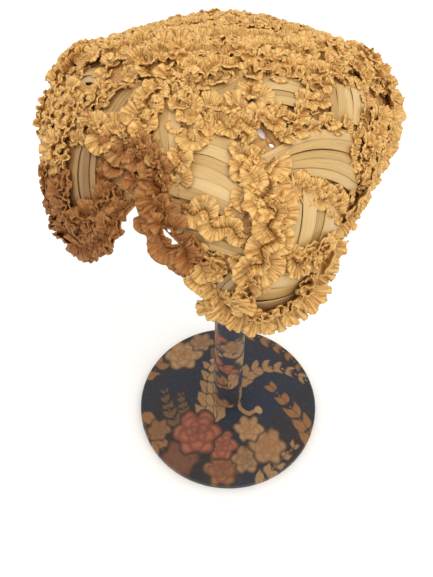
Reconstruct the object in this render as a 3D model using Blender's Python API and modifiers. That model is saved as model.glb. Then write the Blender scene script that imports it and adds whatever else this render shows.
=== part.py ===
"""Straw half hat with ruffles and flat straw patches, on a cloth-covered hat stand.

Metres, +Z up. The origin is the middle of the stand's underside, the stem stands on the Z axis and the
hat's long forehead lobe points to -Y. Places on the hat are given as an azimuth about the hat's own axis
and a drop from its crown, both in degrees: a drop of 90 is the hat's widest level.
"""

import math
from collections import namedtuple

import bmesh
import bpy
import numpy as np

MM = 0.001

# Stand
FOOT_RADIUS = 80 * MM
FOOT_EDGE_HEIGHT = 9 * MM
FOOT_CROWN = 17 * MM
FOOT_EDGE_ROUND = 3.5 * MM
FOOT_EDGE_STEPS = 3
FOOT_SOLE_INSET = 1 * MM
FOOT_DOME_SHARES = (0.3, 0.6, 0.85)
FOOT_SEGMENTS = 48
STEM_SEGMENTS = 32
STEM_RADIUS = 12 * MM
CAP_RADIUS = 36 * MM
CAP_DEPTH = 13 * MM
CAP_UNDERCUT = 2 * MM
CAP_SEGMENTS = 32
CAP_RINGS = 8
JOINT_GAP = 0.3 * MM

# Hat
HAT_AXIS = (-8 * MM, 10 * MM)
WIDEST_HEIGHT = 300 * MM
CROWN_RISE = 56 * MM
WALL_DROP = 120 * MM
ROUNDNESS = 2.1
WALL = 1.8 * MM
SHELL_AROUND = 72
SHELL_DOWN = 11
RIM_SMOOTHING = 1.5
SIDE_SMOOTHING = 8
NORMAL_STEP = 0.02
CAP_CLEARANCE = 0.7 * MM

# Straw patches and ruffles
PANEL_LIFT = 0.5 * MM
PANEL_THICKNESS = 1.1 * MM
STRAW_RIDGE = 0.4 * MM
STRAW_POINTS = 5
RUFFLE_LIFT = 0.5 * MM
RUFFLE_THICKNESS = 1.5 * MM
RUFFLE_WAVE = 17.5 * MM
RUFFLE_STEPS = 6
RUFFLE_FOOT_SWAY = 1.2 * MM
RIM_RUFFLE_INSET = 2.5
GAP_DEPTH = 12 * MM

EdgePoint = namedtuple("EdgePoint", "azimuth radius_mm height_mm")
Patch = namedtuple("Patch", "name straws corners")
Ruffle = namedtuple("Ruffle", "name height_mm sway_mm way_points")
RimRuffle = namedtuple("RimRuffle", "name first last height_mm sway_mm lean")
Gap = namedtuple("Gap", "azimuth drop length_mm width_mm")

# The edge of the shell: azimuth, radius in mm, height in mm
RIM = (
    (0, 97, 314),
    (10, 102, 318),
    (22, 105, 319),
    (35, 103, 320),
    (50, 98, 321),
    (70, 94, 323),
    (90, 94, 322),
    (108, 94, 322),
    (124, 97, 322),
    (138, 102, 321),
    (150, 105, 319),
    (162, 106, 312),
    (172, 104, 304),
    (180, 100, 300),
    (188, 98, 284),
    (198, 97, 262),
    (208, 95, 262),
    (218, 92, 276),
    (227, 89, 292),
    (234, 87, 318),
    (240, 86, 334),
    (247, 88, 330),
    (257, 91, 320),
    (265, 93, 300),
    (272, 95, 273),
    (282, 97, 261),
    (296, 94, 266),
    (306, 91, 284),
    (314, 87, 301),
    (325, 85, 299),
    (336, 85, 299),
    (348, 87, 306),
)

# Straw patches: name, number of straws, corners as (azimuth, drop) in order round the patch.
# The straws run from the first corner to the second.
PATCHES = (
    ("straw_panel_front", 6, ((-105, 31), (-79, 29), (-87, 55), (-103, 53))),
    ("straw_panel_right", 5, ((-61, 38), (-24, 45), (-33, 68), (-51, 52))),
    ("straw_panel_right_fan", 5, ((-66, 53), (-68, 72), (-57, 79), (-52, 69))),
    ("straw_panel_forehead", 4, ((-76, 85), (-65, 87), (-65, 100), (-76, 101))),
    ("straw_panel_notch", 3, ((-103, 63), (-86, 70), (-88, 74), (-101, 69))),
    ("straw_panel_crown_left", 4, ((-141, 29), (-120, 39), (-115, 36), (-124, 24))),
    ("straw_panel_crown", 3, ((-135, 13), (-60, 7), (-62, 15), (-110, 18))),
    ("straw_panel_crown_right", 4, ((-50, 13), (-8, 20), (-18, 29), (-52, 21))),
    ("straw_panel_far_right", 3, ((-7, 35), (-4, 46), (-13, 54), (-22, 42))),
    ("straw_panel_back_left", 3, ((168, 38), (168, 47), (178, 48), (176, 36))),
    ("straw_panel_left", 4, ((-164, 40), (-176, 31), (-164, 25), (-152, 33))),
    ("straw_panel_side_lobe", 4, ((-156, 57), (-146, 78), (-138, 70), (-147, 52))),
)

# Ruffles inside the edge: name, height above the shell, sway of the free edge, way-points (azimuth, drop)
RUFFLES = (
    ("ruffle_back", 9, 4.0,
     ((160, 52), (148, 40), (126, 32), (96, 30), (66, 32), (42, 38), (22, 45), (9, 52))),
    ("ruffle_back_low", 9, 4.0, ((150, 58), (126, 51), (96, 49), (66, 51), (38, 57))),
    ("ruffle_crown", 8, 4.0, ((166, 30), (158, 20), (130, 11), (58, 9), (32, 18), (20, 29), (8, 38))),
    ("ruffle_middle", 9, 4.0,
     ((-174, 21), (-150, 16), (-122, 17), (-104, 22), (-84, 21), (-64, 24), (-42, 31), (-22, 37))),
    ("ruffle_right", 9, 3.5, ((4, 58), (-7, 65), (-17, 70), (-30, 74))),
    ("ruffle_fold", 9, 3.5, ((-69, 33), (-73, 42), (-74, 51), (-73, 60), (-76, 70), (-81, 81), (-81, 94))),
    ("ruffle_divider", 8, 3.0, ((-68, 45), (-60, 52), (-52, 62), (-48, 74))),
    ("ruffle_fan", 8, 3.0, ((-72, 78), (-64, 81), (-55, 84))),
    ("ruffle_left_of_front", 7, 2.5, ((-112, 32), (-109, 42), (-107, 50))),
    ("ruffle_under_front", 8, 3.0, ((-103, 57), (-96, 59), (-88, 64), (-83, 68))),
    ("ruffle_under_notch", 7, 3.0, ((-98, 76), (-92, 79), (-88, 80))),
    ("ruffle_notch", 9, 3.5,
     ((-158, 48), (-144, 42), (-130, 43), (-120, 42), (-115, 47), (-112, 53), (-110, 58))),
    ("ruffle_side_lobe", 8, 3.0, ((-132, 58), (-137, 80), (-146, 96))),
    ("ruffle_left", 8, 3.5, ((170, 56), (-178, 53), (-168, 58), (-163, 68), (-160, 84))),
)

# Ruffles on the edge: name, first and last azimuth, height, sway, how far they lean past the edge
RIM_RUFFLES = (
    ("rim_ruffle_right", -47, 18, 10, 4.0, 0.55),
    ("rim_ruffle_back_right", 21, 88, 11, 4.0, 0.75),
    ("rim_ruffle_back_left", 91, 160, 11, 4.0, 0.75),
    ("rim_ruffle_left", 163, 189, 10, 4.0, 0.55),
    ("rim_ruffle_side_lobe", 191, 236, 9, 3.0, 0.45),
    ("rim_ruffle_notch", 244, 269, 9, 3.0, 0.25),
    ("rim_ruffle_forehead", 271, 311, 10, 3.5, 0.55),
)

# Gaps between straws, cut through the shell: azimuth, drop, length along the drop, width across
GAPS = (
    (-64, 27, 5.0, 2.2),
    (-62, 33, 2.5, 2.5),
    (-70, 37, 4.5, 2.0),
    (-108, 48, 4.0, 2.0),
    (-107, 63, 5.0, 2.5),
    (-104, 68, 3.5, 4.5),
    (-92, 91, 4.5, 4.0),
    (-121, 61, 3.0, 3.0),
)

# Finishes: colour as linear RGB, roughness
STRAW_RUFFLE = ("crimped straw braid", (0.60, 0.36, 0.13), 0.60)
STRAW_FLAT = ("flat oat straw", (0.72, 0.50, 0.22), 0.35)
STRAW_BASE = ("plaited straw", (0.42, 0.24, 0.08), 0.65)
PRINTED_CLOTH = ("printed cotton", (0.05, 0.06, 0.08), 0.75)
WRAPPED_CLOTH = ("wrapped cotton strip", (0.30, 0.16, 0.07), 0.75)
PADDED_CAP = ("plain cotton cap", (0.35, 0.25, 0.15), 0.85)

EVERY_DEGREE = np.arange(0.0, 360.0, 1.0)


def clear_scene():
    """Remove whatever the file opened with."""
    for item in list(bpy.data.objects):
        bpy.data.objects.remove(item, do_unlink=True)


def material(finish):
    """Return a plain Principled material for a finish, made once."""
    name, colour, roughness = finish
    made = bpy.data.materials.get(name)
    if made is None:
        made = bpy.data.materials.new(name)
        made.use_nodes = True
        shader = made.node_tree.nodes["Principled BSDF"]
        shader.inputs["Base Color"].default_value = (*colour, 1.0)
        shader.inputs["Roughness"].default_value = roughness
    return made


def add_object(name, mesh, finish, collection):
    """Link a mesh as a named, smooth-shaded object with its finish."""
    item = bpy.data.objects.new(name, mesh)
    collection.objects.link(item)
    mesh.materials.append(material(finish))
    mesh.shade_smooth()
    mesh.set_sharp_from_angle(angle=math.radians(40))
    return item


def mesh_from(name, shape):
    """Turn a bmesh into a mesh and free it."""
    mesh = bpy.data.meshes.new(name)
    shape.to_mesh(mesh)
    shape.free()
    return mesh


def smooth_round(values, spread):
    """Smooth values given at every degree round a circle; spread is the Gaussian's sigma in degrees."""
    reach = int(3 * spread)
    offsets = np.arange(-reach, reach + 1)
    weights = np.exp(-0.5 * (offsets / spread) ** 2)
    padded = np.concatenate([values[-reach:], values, values[:reach]])
    return np.convolve(padded, weights / weights.sum(), "valid")


def round_table(column):
    """Give a column of the edge table at every degree."""
    rows = [EdgePoint(*row) for row in RIM]
    azimuths = [row.azimuth for row in rows]
    return np.interp(EVERY_DEGREE, azimuths, [getattr(row, column) for row in rows], period=360)


def shrink_at(height):
    """How much of its widest radius the hat has at a height."""
    rise = np.where(height > WIDEST_HEIGHT, CROWN_RISE, WALL_DROP)
    level = np.abs(height - WIDEST_HEIGHT) / rise
    return (1 - level**ROUNDNESS) ** (1 / ROUNDNESS)


RIM_HEIGHT = smooth_round(round_table("height_mm"), RIM_SMOOTHING) * MM
WIDEST_RADIUS = smooth_round(round_table("radius_mm") * MM / shrink_at(RIM_HEIGHT), SIDE_SMOOTHING)


def round_value(values, azimuth):
    """Read a table that is given at every degree."""
    return np.interp(np.degrees(azimuth), EVERY_DEGREE, values, period=360)


def rim_drop(azimuth):
    """The drop, in radians, at which the shell ends."""
    height = round_value(RIM_HEIGHT, azimuth) - WIDEST_HEIGHT
    level = np.abs(height) / np.where(height > 0, CROWN_RISE, WALL_DROP)
    return np.arccos(np.sign(height) * level ** (ROUNDNESS / 2))


def outer_point(azimuth, drop):
    """A point of the shell's outer face."""
    across = round_value(WIDEST_RADIUS, azimuth) * np.abs(np.sin(drop)) ** (2 / ROUNDNESS)
    level = np.cos(drop)
    rise = np.where(level >= 0, CROWN_RISE, -WALL_DROP)
    height = WIDEST_HEIGHT + rise * np.abs(level) ** (2 / ROUNDNESS)
    x = HAT_AXIS[0] + across * np.cos(azimuth)
    y = HAT_AXIS[1] + across * np.sin(azimuth)
    return np.stack([x, y, height], axis=-1)


def unit(vectors):
    """Scale vectors to length one."""
    return vectors / np.linalg.norm(vectors, axis=-1, keepdims=True)


def downward(azimuth, drop):
    """The direction along the shell away from its crown."""
    return unit(outer_point(azimuth, drop + NORMAL_STEP) - outer_point(azimuth, drop - NORMAL_STEP))


def outward(azimuth, drop):
    """The shell's normal, from differences over a small step."""
    drop = np.maximum(drop, 2 * NORMAL_STEP)
    around = outer_point(azimuth + NORMAL_STEP, drop) - outer_point(azimuth - NORMAL_STEP, drop)
    return unit(np.cross(downward(azimuth, drop), around))


def hat_point(azimuth, drop, lift):
    """A point at a height above the shell's outer face."""
    return outer_point(azimuth, drop) + np.asarray(lift)[..., None] * outward(azimuth, drop)


def to_plan(azimuth_deg, drop_deg):
    """Unroll a place on the hat to a flat plan, where distance from the middle is the drop."""
    azimuth = np.radians(azimuth_deg)
    drop = np.radians(drop_deg)
    return np.stack([drop * np.cos(azimuth), drop * np.sin(azimuth)], axis=-1)


def from_plan(plan):
    """Roll plan points back to azimuth and drop, in radians."""
    return np.arctan2(plan[..., 1], plan[..., 0]), np.hypot(plan[..., 0], plan[..., 1])


def smooth_path(points, per_span=24):
    """Run a Catmull-Rom curve through way-points."""
    ends = np.vstack([2 * points[0] - points[1], points, 2 * points[-1] - points[-2]])
    t = np.linspace(0, 1, per_span, endpoint=False)[:, None]
    spans = []
    for a, b, c, d in zip(ends[:-3], ends[1:-2], ends[2:-1], ends[3:]):
        cubic = -a + 3 * b - 3 * c + d
        square = 2 * a - 5 * b + 4 * c - d
        spans.append(0.5 * (2 * b + (c - a) * t + square * t**2 + cubic * t**3))
    return np.vstack([*spans, points[-1:]])


def even_steps(plan, length):
    """Resample a plan path so that its points lie evenly on the hat, about a given length apart."""
    along = hat_point(*from_plan(plan), np.zeros(len(plan)))
    walked = np.concatenate([[0], np.cumsum(np.linalg.norm(np.diff(along, axis=0), axis=1))])
    count = max(2, round(walked[-1] / length))
    stops = np.linspace(0, walked[-1], count + 1)
    return np.stack([np.interp(stops, walked, plan[:, k]) for k in (0, 1)], axis=-1)


def strip_mesh(name, rows):
    """Make an open surface from rows of points, all rows the same length."""
    down = len(rows)
    along = len(rows[0])
    shape = bmesh.new()
    bmesh.ops.create_grid(shape, x_segments=along - 1, y_segments=down - 1, size=1.0)
    for vertex in shape.verts:
        i = round((vertex.co.x + 1) / 2 * (along - 1))
        j = round((vertex.co.y + 1) / 2 * (down - 1))
        vertex.co = rows[j][i]
    bmesh.ops.recalc_face_normals(shape, faces=shape.faces)
    return mesh_from(name, shape)


def solidify(item, thickness, offset):
    """Give an open surface its thickness."""
    wall = item.modifiers.new("wall", "SOLIDIFY")
    wall.thickness = thickness
    wall.offset = offset
    return wall


def build_shell(collection, cutters):
    """The shell that everything is sewn to: a remapped half sphere with its wall inside."""
    shape = bmesh.new()
    bmesh.ops.create_uvsphere(shape, u_segments=SHELL_AROUND, v_segments=2 * SHELL_DOWN, radius=1.0)
    lower = [vertex for vertex in shape.verts if vertex.co.z < -0.01]
    bmesh.ops.delete(shape, geom=lower, context="VERTS")
    for vertex in shape.verts:
        azimuth = math.atan2(vertex.co.y, vertex.co.x)
        share = math.acos(min(1.0, vertex.co.z)) / (math.pi / 2)
        vertex.co = outer_point(azimuth, share * rim_drop(azimuth))
    item = add_object("straw_base", mesh_from("straw_base", shape), STRAW_BASE, collection)
    solidify(item, WALL, -1)
    cut = item.modifiers.new("gaps between straws", "BOOLEAN")
    cut.operation = "DIFFERENCE"
    cut.object = build_gap_cutter(cutters)
    return item


def build_gap_cutter(cutters):
    """One block for each gap, standing through the shell."""
    shape = bmesh.new()
    for row in GAPS:
        gap = Gap(*row)
        azimuth = math.radians(gap.azimuth)
        drop = math.radians(gap.drop)
        middle = outer_point(azimuth, drop)
        normal = outward(azimuth, drop)
        down = gap.length_mm * MM * downward(azimuth, drop)
        across = gap.width_mm * MM * unit(np.cross(normal, down))
        block = bmesh.ops.create_cube(shape, size=1.0)
        for vertex in block["verts"]:
            x, y, z = vertex.co
            vertex.co = middle + x * down + y * across + z * GAP_DEPTH * normal
    bmesh.ops.recalc_face_normals(shape, faces=shape.faces)
    item = bpy.data.objects.new("gap_cutter", mesh_from("gap_cutter", shape))
    cutters.objects.link(item)
    item.hide_render = True
    item.display_type = "WIRE"
    return item


def build_patch(patch, collection):
    """A patch of parallel straws: a thin curved plate with one low ridge for each straw."""
    start, end, end_below, start_below = (to_plan(*corner) for corner in patch.corners)
    along = np.linspace(0, 1, STRAW_POINTS)[:, None]
    rows = []
    for row in range(2 * patch.straws + 1):
        share = row / (2 * patch.straws)
        first = start + (start_below - start) * share
        last = end + (end_below - end) * share
        ridge = STRAW_RIDGE if row % 2 else 0.0
        plan = first + (last - first) * along
        rows.append(hat_point(*from_plan(plan), np.full(STRAW_POINTS, PANEL_LIFT + ridge)))
    item = add_object(patch.name, strip_mesh(patch.name, rows), STRAW_FLAT, collection)
    if item.data.polygons[0].normal.z < 0:
        item.data.flip_normals()
    solidify(item, PANEL_THICKNESS, 1)
    return item


def build_ruffle(name, plan, height, sway, lean, collection):
    """A gathered strip that stands on the shell: its foot wavers a little, its free edge a lot."""
    plan = even_steps(plan, RUFFLE_WAVE / RUFFLE_STEPS)
    azimuth, drop = from_plan(plan)
    flat = hat_point(azimuth, drop, np.zeros(len(plan)))
    ahead = unit(np.gradient(flat, axis=0))
    normal = outward(azimuth, drop)
    side = np.cross(normal, ahead)
    wave = np.sin(2 * math.pi * np.arange(len(plan)) / RUFFLE_STEPS)
    tilt = abs(lean) / math.hypot(1, lean)
    lift = RUFFLE_LIFT + RUFFLE_THICKNESS / 2 * tilt
    foot = flat + lift * normal + (RUFFLE_FOOT_SWAY * wave)[:, None] * side
    rise = unit(normal + lean * side)
    free = foot + height * rise + ((sway - RUFFLE_FOOT_SWAY) * wave)[:, None] * side
    item = add_object(name, strip_mesh(name, [foot, free]), STRAW_RUFFLE, collection)
    solidify(item, RUFFLE_THICKNESS, 0)
    return item


def rim_plan(first, last):
    """A plan path along the shell's edge and a little inside it, in the direction of growing azimuth."""
    azimuth = np.arange(first, last + 0.5, 1.0)
    return to_plan(azimuth, np.degrees(rim_drop(np.radians(azimuth))) - RIM_RUFFLE_INSET)


def build_hat(collection, cutters):
    """The shell, its straw patches and all the ruffles."""
    build_shell(collection, cutters)
    for row in PATCHES:
        build_patch(Patch(*row), collection)
    for ruffle in (Ruffle(*row) for row in RUFFLES):
        plan = smooth_path(np.array([to_plan(*point) for point in ruffle.way_points]))
        build_ruffle(ruffle.name, plan, ruffle.height_mm * MM, ruffle.sway_mm * MM, 0.0, collection)
    for ruffle in (RimRuffle(*row) for row in RIM_RUFFLES):
        plan = rim_plan(ruffle.first, ruffle.last)
        sway = ruffle.sway_mm * MM
        build_ruffle(ruffle.name, plan, ruffle.height_mm * MM, sway, -ruffle.lean, collection)


def turned(name, profile, steps, finish, collection):
    """Turn a profile at +X, from top to bottom, into a solid about Z."""
    mesh = bpy.data.meshes.new(name)
    points = [(radius, 0.0, height) for radius, height in profile]
    mesh.from_pydata(points, [(k, k + 1) for k in range(len(points) - 1)], [])
    item = add_object(name, mesh, finish, collection)
    screw = item.modifiers.new("turn", "SCREW")
    screw.axis = "Z"
    screw.steps = steps
    screw.render_steps = steps
    screw.use_merge_vertices = True
    screw.merge_threshold = 0.0001
    screw.use_smooth_shade = True
    return item


def build_foot(collection):
    """The stand's shallow domed foot, turned about Z from its outer profile."""
    profile = [(0.0, FOOT_CROWN)]
    inner = FOOT_RADIUS - FOOT_EDGE_ROUND
    for share in FOOT_DOME_SHARES:
        profile.append((share * inner, FOOT_EDGE_HEIGHT + (FOOT_CROWN - FOOT_EDGE_HEIGHT) * (1 - share**2)))
    edge_height = FOOT_EDGE_HEIGHT - FOOT_EDGE_ROUND
    for step in range(FOOT_EDGE_STEPS + 1):
        turn = math.pi / 2 * (1 - step / FOOT_EDGE_STEPS)
        across = inner + FOOT_EDGE_ROUND * math.cos(turn)
        profile.append((across, edge_height + FOOT_EDGE_ROUND * math.sin(turn)))
    profile.append((FOOT_RADIUS - FOOT_SOLE_INSET, 0.0))
    profile.append((0.0, 0.0))
    turned("stand_base", profile, FOOT_SEGMENTS, PRINTED_CLOTH, collection)


def crown_height(x, y):
    """Height of the shell's outer face above a place near the middle."""
    azimuth = np.arctan2(y - HAT_AXIS[1], x - HAT_AXIS[0])
    share = np.hypot(x - HAT_AXIS[0], y - HAT_AXIS[1]) / round_value(WIDEST_RADIUS, azimuth)
    return WIDEST_HEIGHT + CROWN_RISE * (1 - share**ROUNDNESS) ** (1 / ROUNDNESS)


def cap_bottom():
    """Height of the cap's flat underside, where the stem ends."""
    return float(crown_height(0.0, 0.0)) - WALL - CAP_CLEARANCE - CAP_DEPTH


def build_cap(collection):
    """The domed top that carries the crown: its upper face follows the shell's inside."""
    shape = bmesh.new()
    bmesh.ops.create_uvsphere(shape, u_segments=CAP_SEGMENTS, v_segments=CAP_RINGS, radius=1.0)
    for vertex in shape.verts:
        upper = vertex.co.z >= -0.01
        share = math.acos(min(1.0, abs(vertex.co.z))) / (math.pi / 2)
        turn = math.atan2(vertex.co.y, vertex.co.x)
        reach = CAP_RADIUS if upper else CAP_RADIUS - CAP_UNDERCUT
        x = reach * share * math.cos(turn)
        y = reach * share * math.sin(turn)
        top = float(crown_height(x, y)) - WALL - CAP_CLEARANCE
        vertex.co = (x, y, top if upper else cap_bottom())
    add_object("stand_cap", mesh_from("stand_cap", shape), PADDED_CAP, collection)


def build_stem(collection):
    """The stem between foot and cap."""
    bottom = FOOT_CROWN + JOINT_GAP
    top = cap_bottom() - JOINT_GAP
    bpy.ops.mesh.primitive_cylinder_add(
        vertices=STEM_SEGMENTS, radius=STEM_RADIUS, depth=top - bottom, location=(0, 0, (top + bottom) / 2)
    )
    item = bpy.context.object
    item.name = "stand_stem"
    for owner in list(item.users_collection):
        owner.objects.unlink(item)
    collection.objects.link(item)
    item.data.materials.append(material(WRAPPED_CLOTH))
    item.data.shade_smooth()
    item.data.set_sharp_from_angle(angle=math.radians(40))


def build():
    """Build the whole object."""
    clear_scene()
    collection = bpy.data.collections.new("straw half hat on a stand")
    cutters = bpy.data.collections.new("cutters")
    bpy.context.scene.collection.children.link(collection)
    bpy.context.scene.collection.children.link(cutters)
    build_foot(collection)
    build_stem(collection)
    build_cap(collection)
    build_hat(collection, cutters)


build()
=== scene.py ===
"""Straw half hat on its cloth-covered stand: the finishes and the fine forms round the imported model.

The hat's form is repeated here in the part's sizes. A place on the hat is an azimuth about its axis and a
drop from its crown; tables give both in degrees. The flat plan of the hat has the drop as its radius.
Lengths are metres, and tables give millimetres where their columns say so.
"""

import logging
import math
from dataclasses import dataclass, field
from enum import Enum
from functools import partial
from typing import NamedTuple, Sequence

import bmesh
import bpy
import numpy as np
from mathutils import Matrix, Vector


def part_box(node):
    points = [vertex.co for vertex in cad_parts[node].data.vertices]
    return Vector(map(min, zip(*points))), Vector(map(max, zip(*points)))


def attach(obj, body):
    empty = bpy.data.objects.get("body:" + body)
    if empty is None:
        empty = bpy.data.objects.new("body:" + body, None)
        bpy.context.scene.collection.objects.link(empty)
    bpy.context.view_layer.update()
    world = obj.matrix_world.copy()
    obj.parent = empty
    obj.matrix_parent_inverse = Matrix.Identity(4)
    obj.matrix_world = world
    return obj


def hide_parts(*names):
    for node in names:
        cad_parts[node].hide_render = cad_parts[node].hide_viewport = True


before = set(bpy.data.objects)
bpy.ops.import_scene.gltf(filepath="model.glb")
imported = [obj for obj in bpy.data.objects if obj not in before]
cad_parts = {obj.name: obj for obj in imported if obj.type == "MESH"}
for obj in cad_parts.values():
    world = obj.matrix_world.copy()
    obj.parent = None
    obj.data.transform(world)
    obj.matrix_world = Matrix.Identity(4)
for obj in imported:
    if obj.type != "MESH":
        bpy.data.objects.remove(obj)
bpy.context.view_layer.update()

MM = 0.001
PATCH_SEED, ROW_SEED, EDGE_SEED, TUFT_SEED = 7, 100, 600, 900
ROW_SEED_STEP = 17
LOG = logging.getLogger("half_hat")
Socket = bpy.types.NodeSocket


def linear(hex_colour: str) -> tuple[float, float, float, float]:
    """Turn an sRGB hex colour to linear RGBA.

    Args:
        hex_colour: a colour such as "#E0B868".

    Returns:
        Red, green, blue and alpha, linear.
    """
    parts = [int(hex_colour[k : k + 2], 16) / 255 for k in (1, 3, 5)]
    return (*[c / 12.92 if c <= 0.04045 else ((c + 0.055) / 1.055) ** 2.4 for c in parts], 1.0)


def add_node(tree: bpy.types.NodeTree, kind: str, links: dict | None = None, **settings) -> bpy.types.Node:
    """Add a node with its settings, input values and links.

    Args:
        tree: the tree that gets the node.
        kind: the node's type name.
        links: socket name or index to a value, or to the output socket that feeds it.
        settings: attributes of the node itself.

    Returns:
        The node.
    """
    node = tree.nodes.new(kind)
    for name, value in settings.items():
        setattr(node, name, value)
    for key, value in (links or {}).items():
        socket = node.inputs[key]
        if isinstance(value, Socket):
            tree.links.new(value, socket)
        else:
            socket.default_value = value
    return node


def unit(vectors: np.ndarray) -> np.ndarray:
    """Scale vectors to length one."""
    return vectors / np.maximum(np.linalg.norm(vectors, axis=-1, keepdims=True), 1e-12)


def eased(share: np.ndarray) -> np.ndarray:
    """Ease shares from 0 to 1 in and out."""
    return share * share * (3 - 2 * share)


def smooth_noise(length: float, spacing: float, seed: int, at: np.ndarray) -> np.ndarray:
    """Smooth random values along a length.

    Args:
        length: how far the values reach.
        spacing: distance between independent values.
        seed: seed of the random draw.
        at: where the values are wanted.

    Returns:
        Values between about -1 and 1.
    """
    count = int(length / spacing) + 4
    knots = np.random.default_rng(seed).uniform(-1, 1, count)
    where = np.clip(at / spacing + 1, 0, count - 2)
    low = where.astype(int)
    share = eased(where - low)
    return knots[low] * (1 - share) + knots[low + 1] * share


class Unevenness(NamedTuple):
    """How far a value wanders, as a share of itself, and over what length."""

    share: float
    length_mm: float

    def along(self, length: float, seed: int, at: np.ndarray) -> np.ndarray:
        """Give the factor at places along a length."""
        return 1 + self.share * smooth_noise(length, self.length_mm * MM, seed, at)


def wave_phase(along: np.ndarray, pace: np.ndarray, period: float, start: float) -> np.ndarray:
    """Give the phase of a wave that runs faster and slower, from its pace at each place along it."""
    return 2 * math.pi * np.concatenate([[0], np.cumsum(pace[1:] * np.diff(along))]) / period + start


def crumple(along: np.ndarray, out: np.ndarray, spacing: float, seed: int) -> np.ndarray:
    """Smooth random values over a strip.

    Args:
        along: places along the strip, one for each column.
        out: places across it, one for each row.
        spacing: distance between independent values.
        seed: seed of the random draw.

    Returns:
        Values between -1 and 1, row by row.
    """
    u, v = along / spacing, out / spacing
    knots = np.random.default_rng(seed).uniform(-1, 1, (int(v[-1]) + 2, int(u[-1]) + 2))
    i, j = v.astype(int)[:, None], u.astype(int)[None, :]
    p, q = eased(v[:, None] - i), eased(u[None, :] - j)
    low = knots[i, j] * (1 - q) + knots[i, j + 1] * q
    return low * (1 - p) + (knots[i + 1, j] * (1 - q) + knots[i + 1, j + 1] * q) * p


class EdgePoint(NamedTuple):
    """A point of the shell's edge."""

    azimuth: float
    radius_mm: float
    height_mm: float


EDGE = tuple(
    EdgePoint(*row)
    for row in (
        (0, 97, 314), (10, 102, 318), (22, 105, 319), (35, 103, 320), (50, 98, 321), (70, 94, 323),
        (90, 94, 322), (108, 94, 322), (124, 97, 322), (138, 102, 321), (150, 105, 319), (162, 106, 312),
        (172, 104, 304), (180, 100, 300), (188, 98, 284), (198, 97, 262), (208, 95, 262), (218, 92, 276),
        (227, 89, 292), (234, 87, 318), (240, 86, 334), (247, 88, 330), (257, 91, 320), (265, 93, 300),
        (272, 95, 273), (282, 97, 261), (296, 94, 266), (306, 91, 284), (314, 87, 301), (325, 85, 299),
        (336, 85, 299), (348, 87, 306),
    )
)


@dataclass(frozen=True)
class HatForm:
    """The form of the hat's shell, as the part has it."""

    axis: tuple[float, float] = (-8 * MM, 10 * MM)
    widest: float = 300 * MM
    crown_rise: float = 56 * MM
    wall_drop: float = 120 * MM
    roundness: float = 2.1
    wall: float = 1.8 * MM
    edge_smoothing: float = 1.5
    side_smoothing: float = 8
    step: float = 0.02
    degrees: np.ndarray = field(init=False)
    edge_height: np.ndarray = field(init=False)
    widest_radius: np.ndarray = field(init=False)

    def __post_init__(self) -> None:
        """Work out the edge's height and the widest radius at every degree."""
        degrees = np.arange(0.0, 360.0)
        azimuths, radii_mm, heights_mm = np.array(EDGE).T
        heights = np.interp(degrees, azimuths, heights_mm * MM, period=360)
        radii = np.interp(degrees, azimuths, radii_mm * MM, period=360)
        heights = self.smoothed(heights, self.edge_smoothing)
        rise = np.where(heights > self.widest, self.crown_rise, self.wall_drop)
        shrink = (1 - (np.abs(heights - self.widest) / rise) ** self.roundness) ** (1 / self.roundness)
        object.__setattr__(self, "degrees", degrees)
        object.__setattr__(self, "edge_height", heights)
        object.__setattr__(self, "widest_radius", self.smoothed(radii / shrink, self.side_smoothing))

    @staticmethod
    def smoothed(values: np.ndarray, spread: float) -> np.ndarray:
        """Smooth values given at every degree round a circle."""
        reach = int(3 * spread)
        weights = np.exp(-0.5 * (np.arange(-reach, reach + 1) / spread) ** 2)
        padded = np.concatenate([values[-reach:], values, values[:reach]])
        return np.convolve(padded, weights / weights.sum(), "valid")

    def at(self, values: np.ndarray, azimuth: np.ndarray) -> np.ndarray:
        """Read a table that is given at every degree."""
        return np.interp(np.degrees(azimuth), self.degrees, values, period=360)

    def edge_drop(self, azimuth: np.ndarray) -> np.ndarray:
        """The drop, in radians, at which the shell ends."""
        height = self.at(self.edge_height, azimuth) - self.widest
        level = np.abs(height) / np.where(height > 0, self.crown_rise, self.wall_drop)
        return np.arccos(np.sign(height) * level ** (self.roundness / 2))

    def outer(self, azimuth: np.ndarray, drop: np.ndarray) -> np.ndarray:
        """A point of the shell's outer face."""
        across = self.at(self.widest_radius, azimuth) * np.abs(np.sin(drop)) ** (2 / self.roundness)
        level = np.cos(drop)
        rise = np.where(level >= 0, self.crown_rise, -self.wall_drop)
        height = self.widest + rise * np.abs(level) ** (2 / self.roundness)
        x = self.axis[0] + across * np.cos(azimuth)
        y = self.axis[1] + across * np.sin(azimuth)
        return np.stack([x, y, height], axis=-1)

    def downward(self, azimuth: np.ndarray, drop: np.ndarray) -> np.ndarray:
        """The direction along the shell away from its crown."""
        return unit(self.outer(azimuth, drop + self.step) - self.outer(azimuth, drop - self.step))

    def normal(self, azimuth: np.ndarray, drop: np.ndarray) -> np.ndarray:
        """The shell's outward direction."""
        drop = np.maximum(drop, 2 * self.step)
        around = self.outer(azimuth + self.step, drop) - self.outer(azimuth - self.step, drop)
        return unit(np.cross(self.downward(azimuth, drop), around))

    def lifted(self, plan: np.ndarray, lift: np.ndarray | float) -> np.ndarray:
        """Points above the shell for points of the flat plan."""
        azimuth, drop = from_plan(plan)
        height = np.broadcast_to(lift, azimuth.shape)[..., None]
        return self.outer(azimuth, drop) + height * self.normal(azimuth, drop)


def to_plan(azimuth_deg: np.ndarray | float, drop_deg: np.ndarray | float) -> np.ndarray:
    """Unroll a place on the hat to the flat plan."""
    azimuth = np.radians(azimuth_deg)
    drop = np.radians(drop_deg)
    return np.stack([drop * np.cos(azimuth), drop * np.sin(azimuth)], axis=-1)


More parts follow.
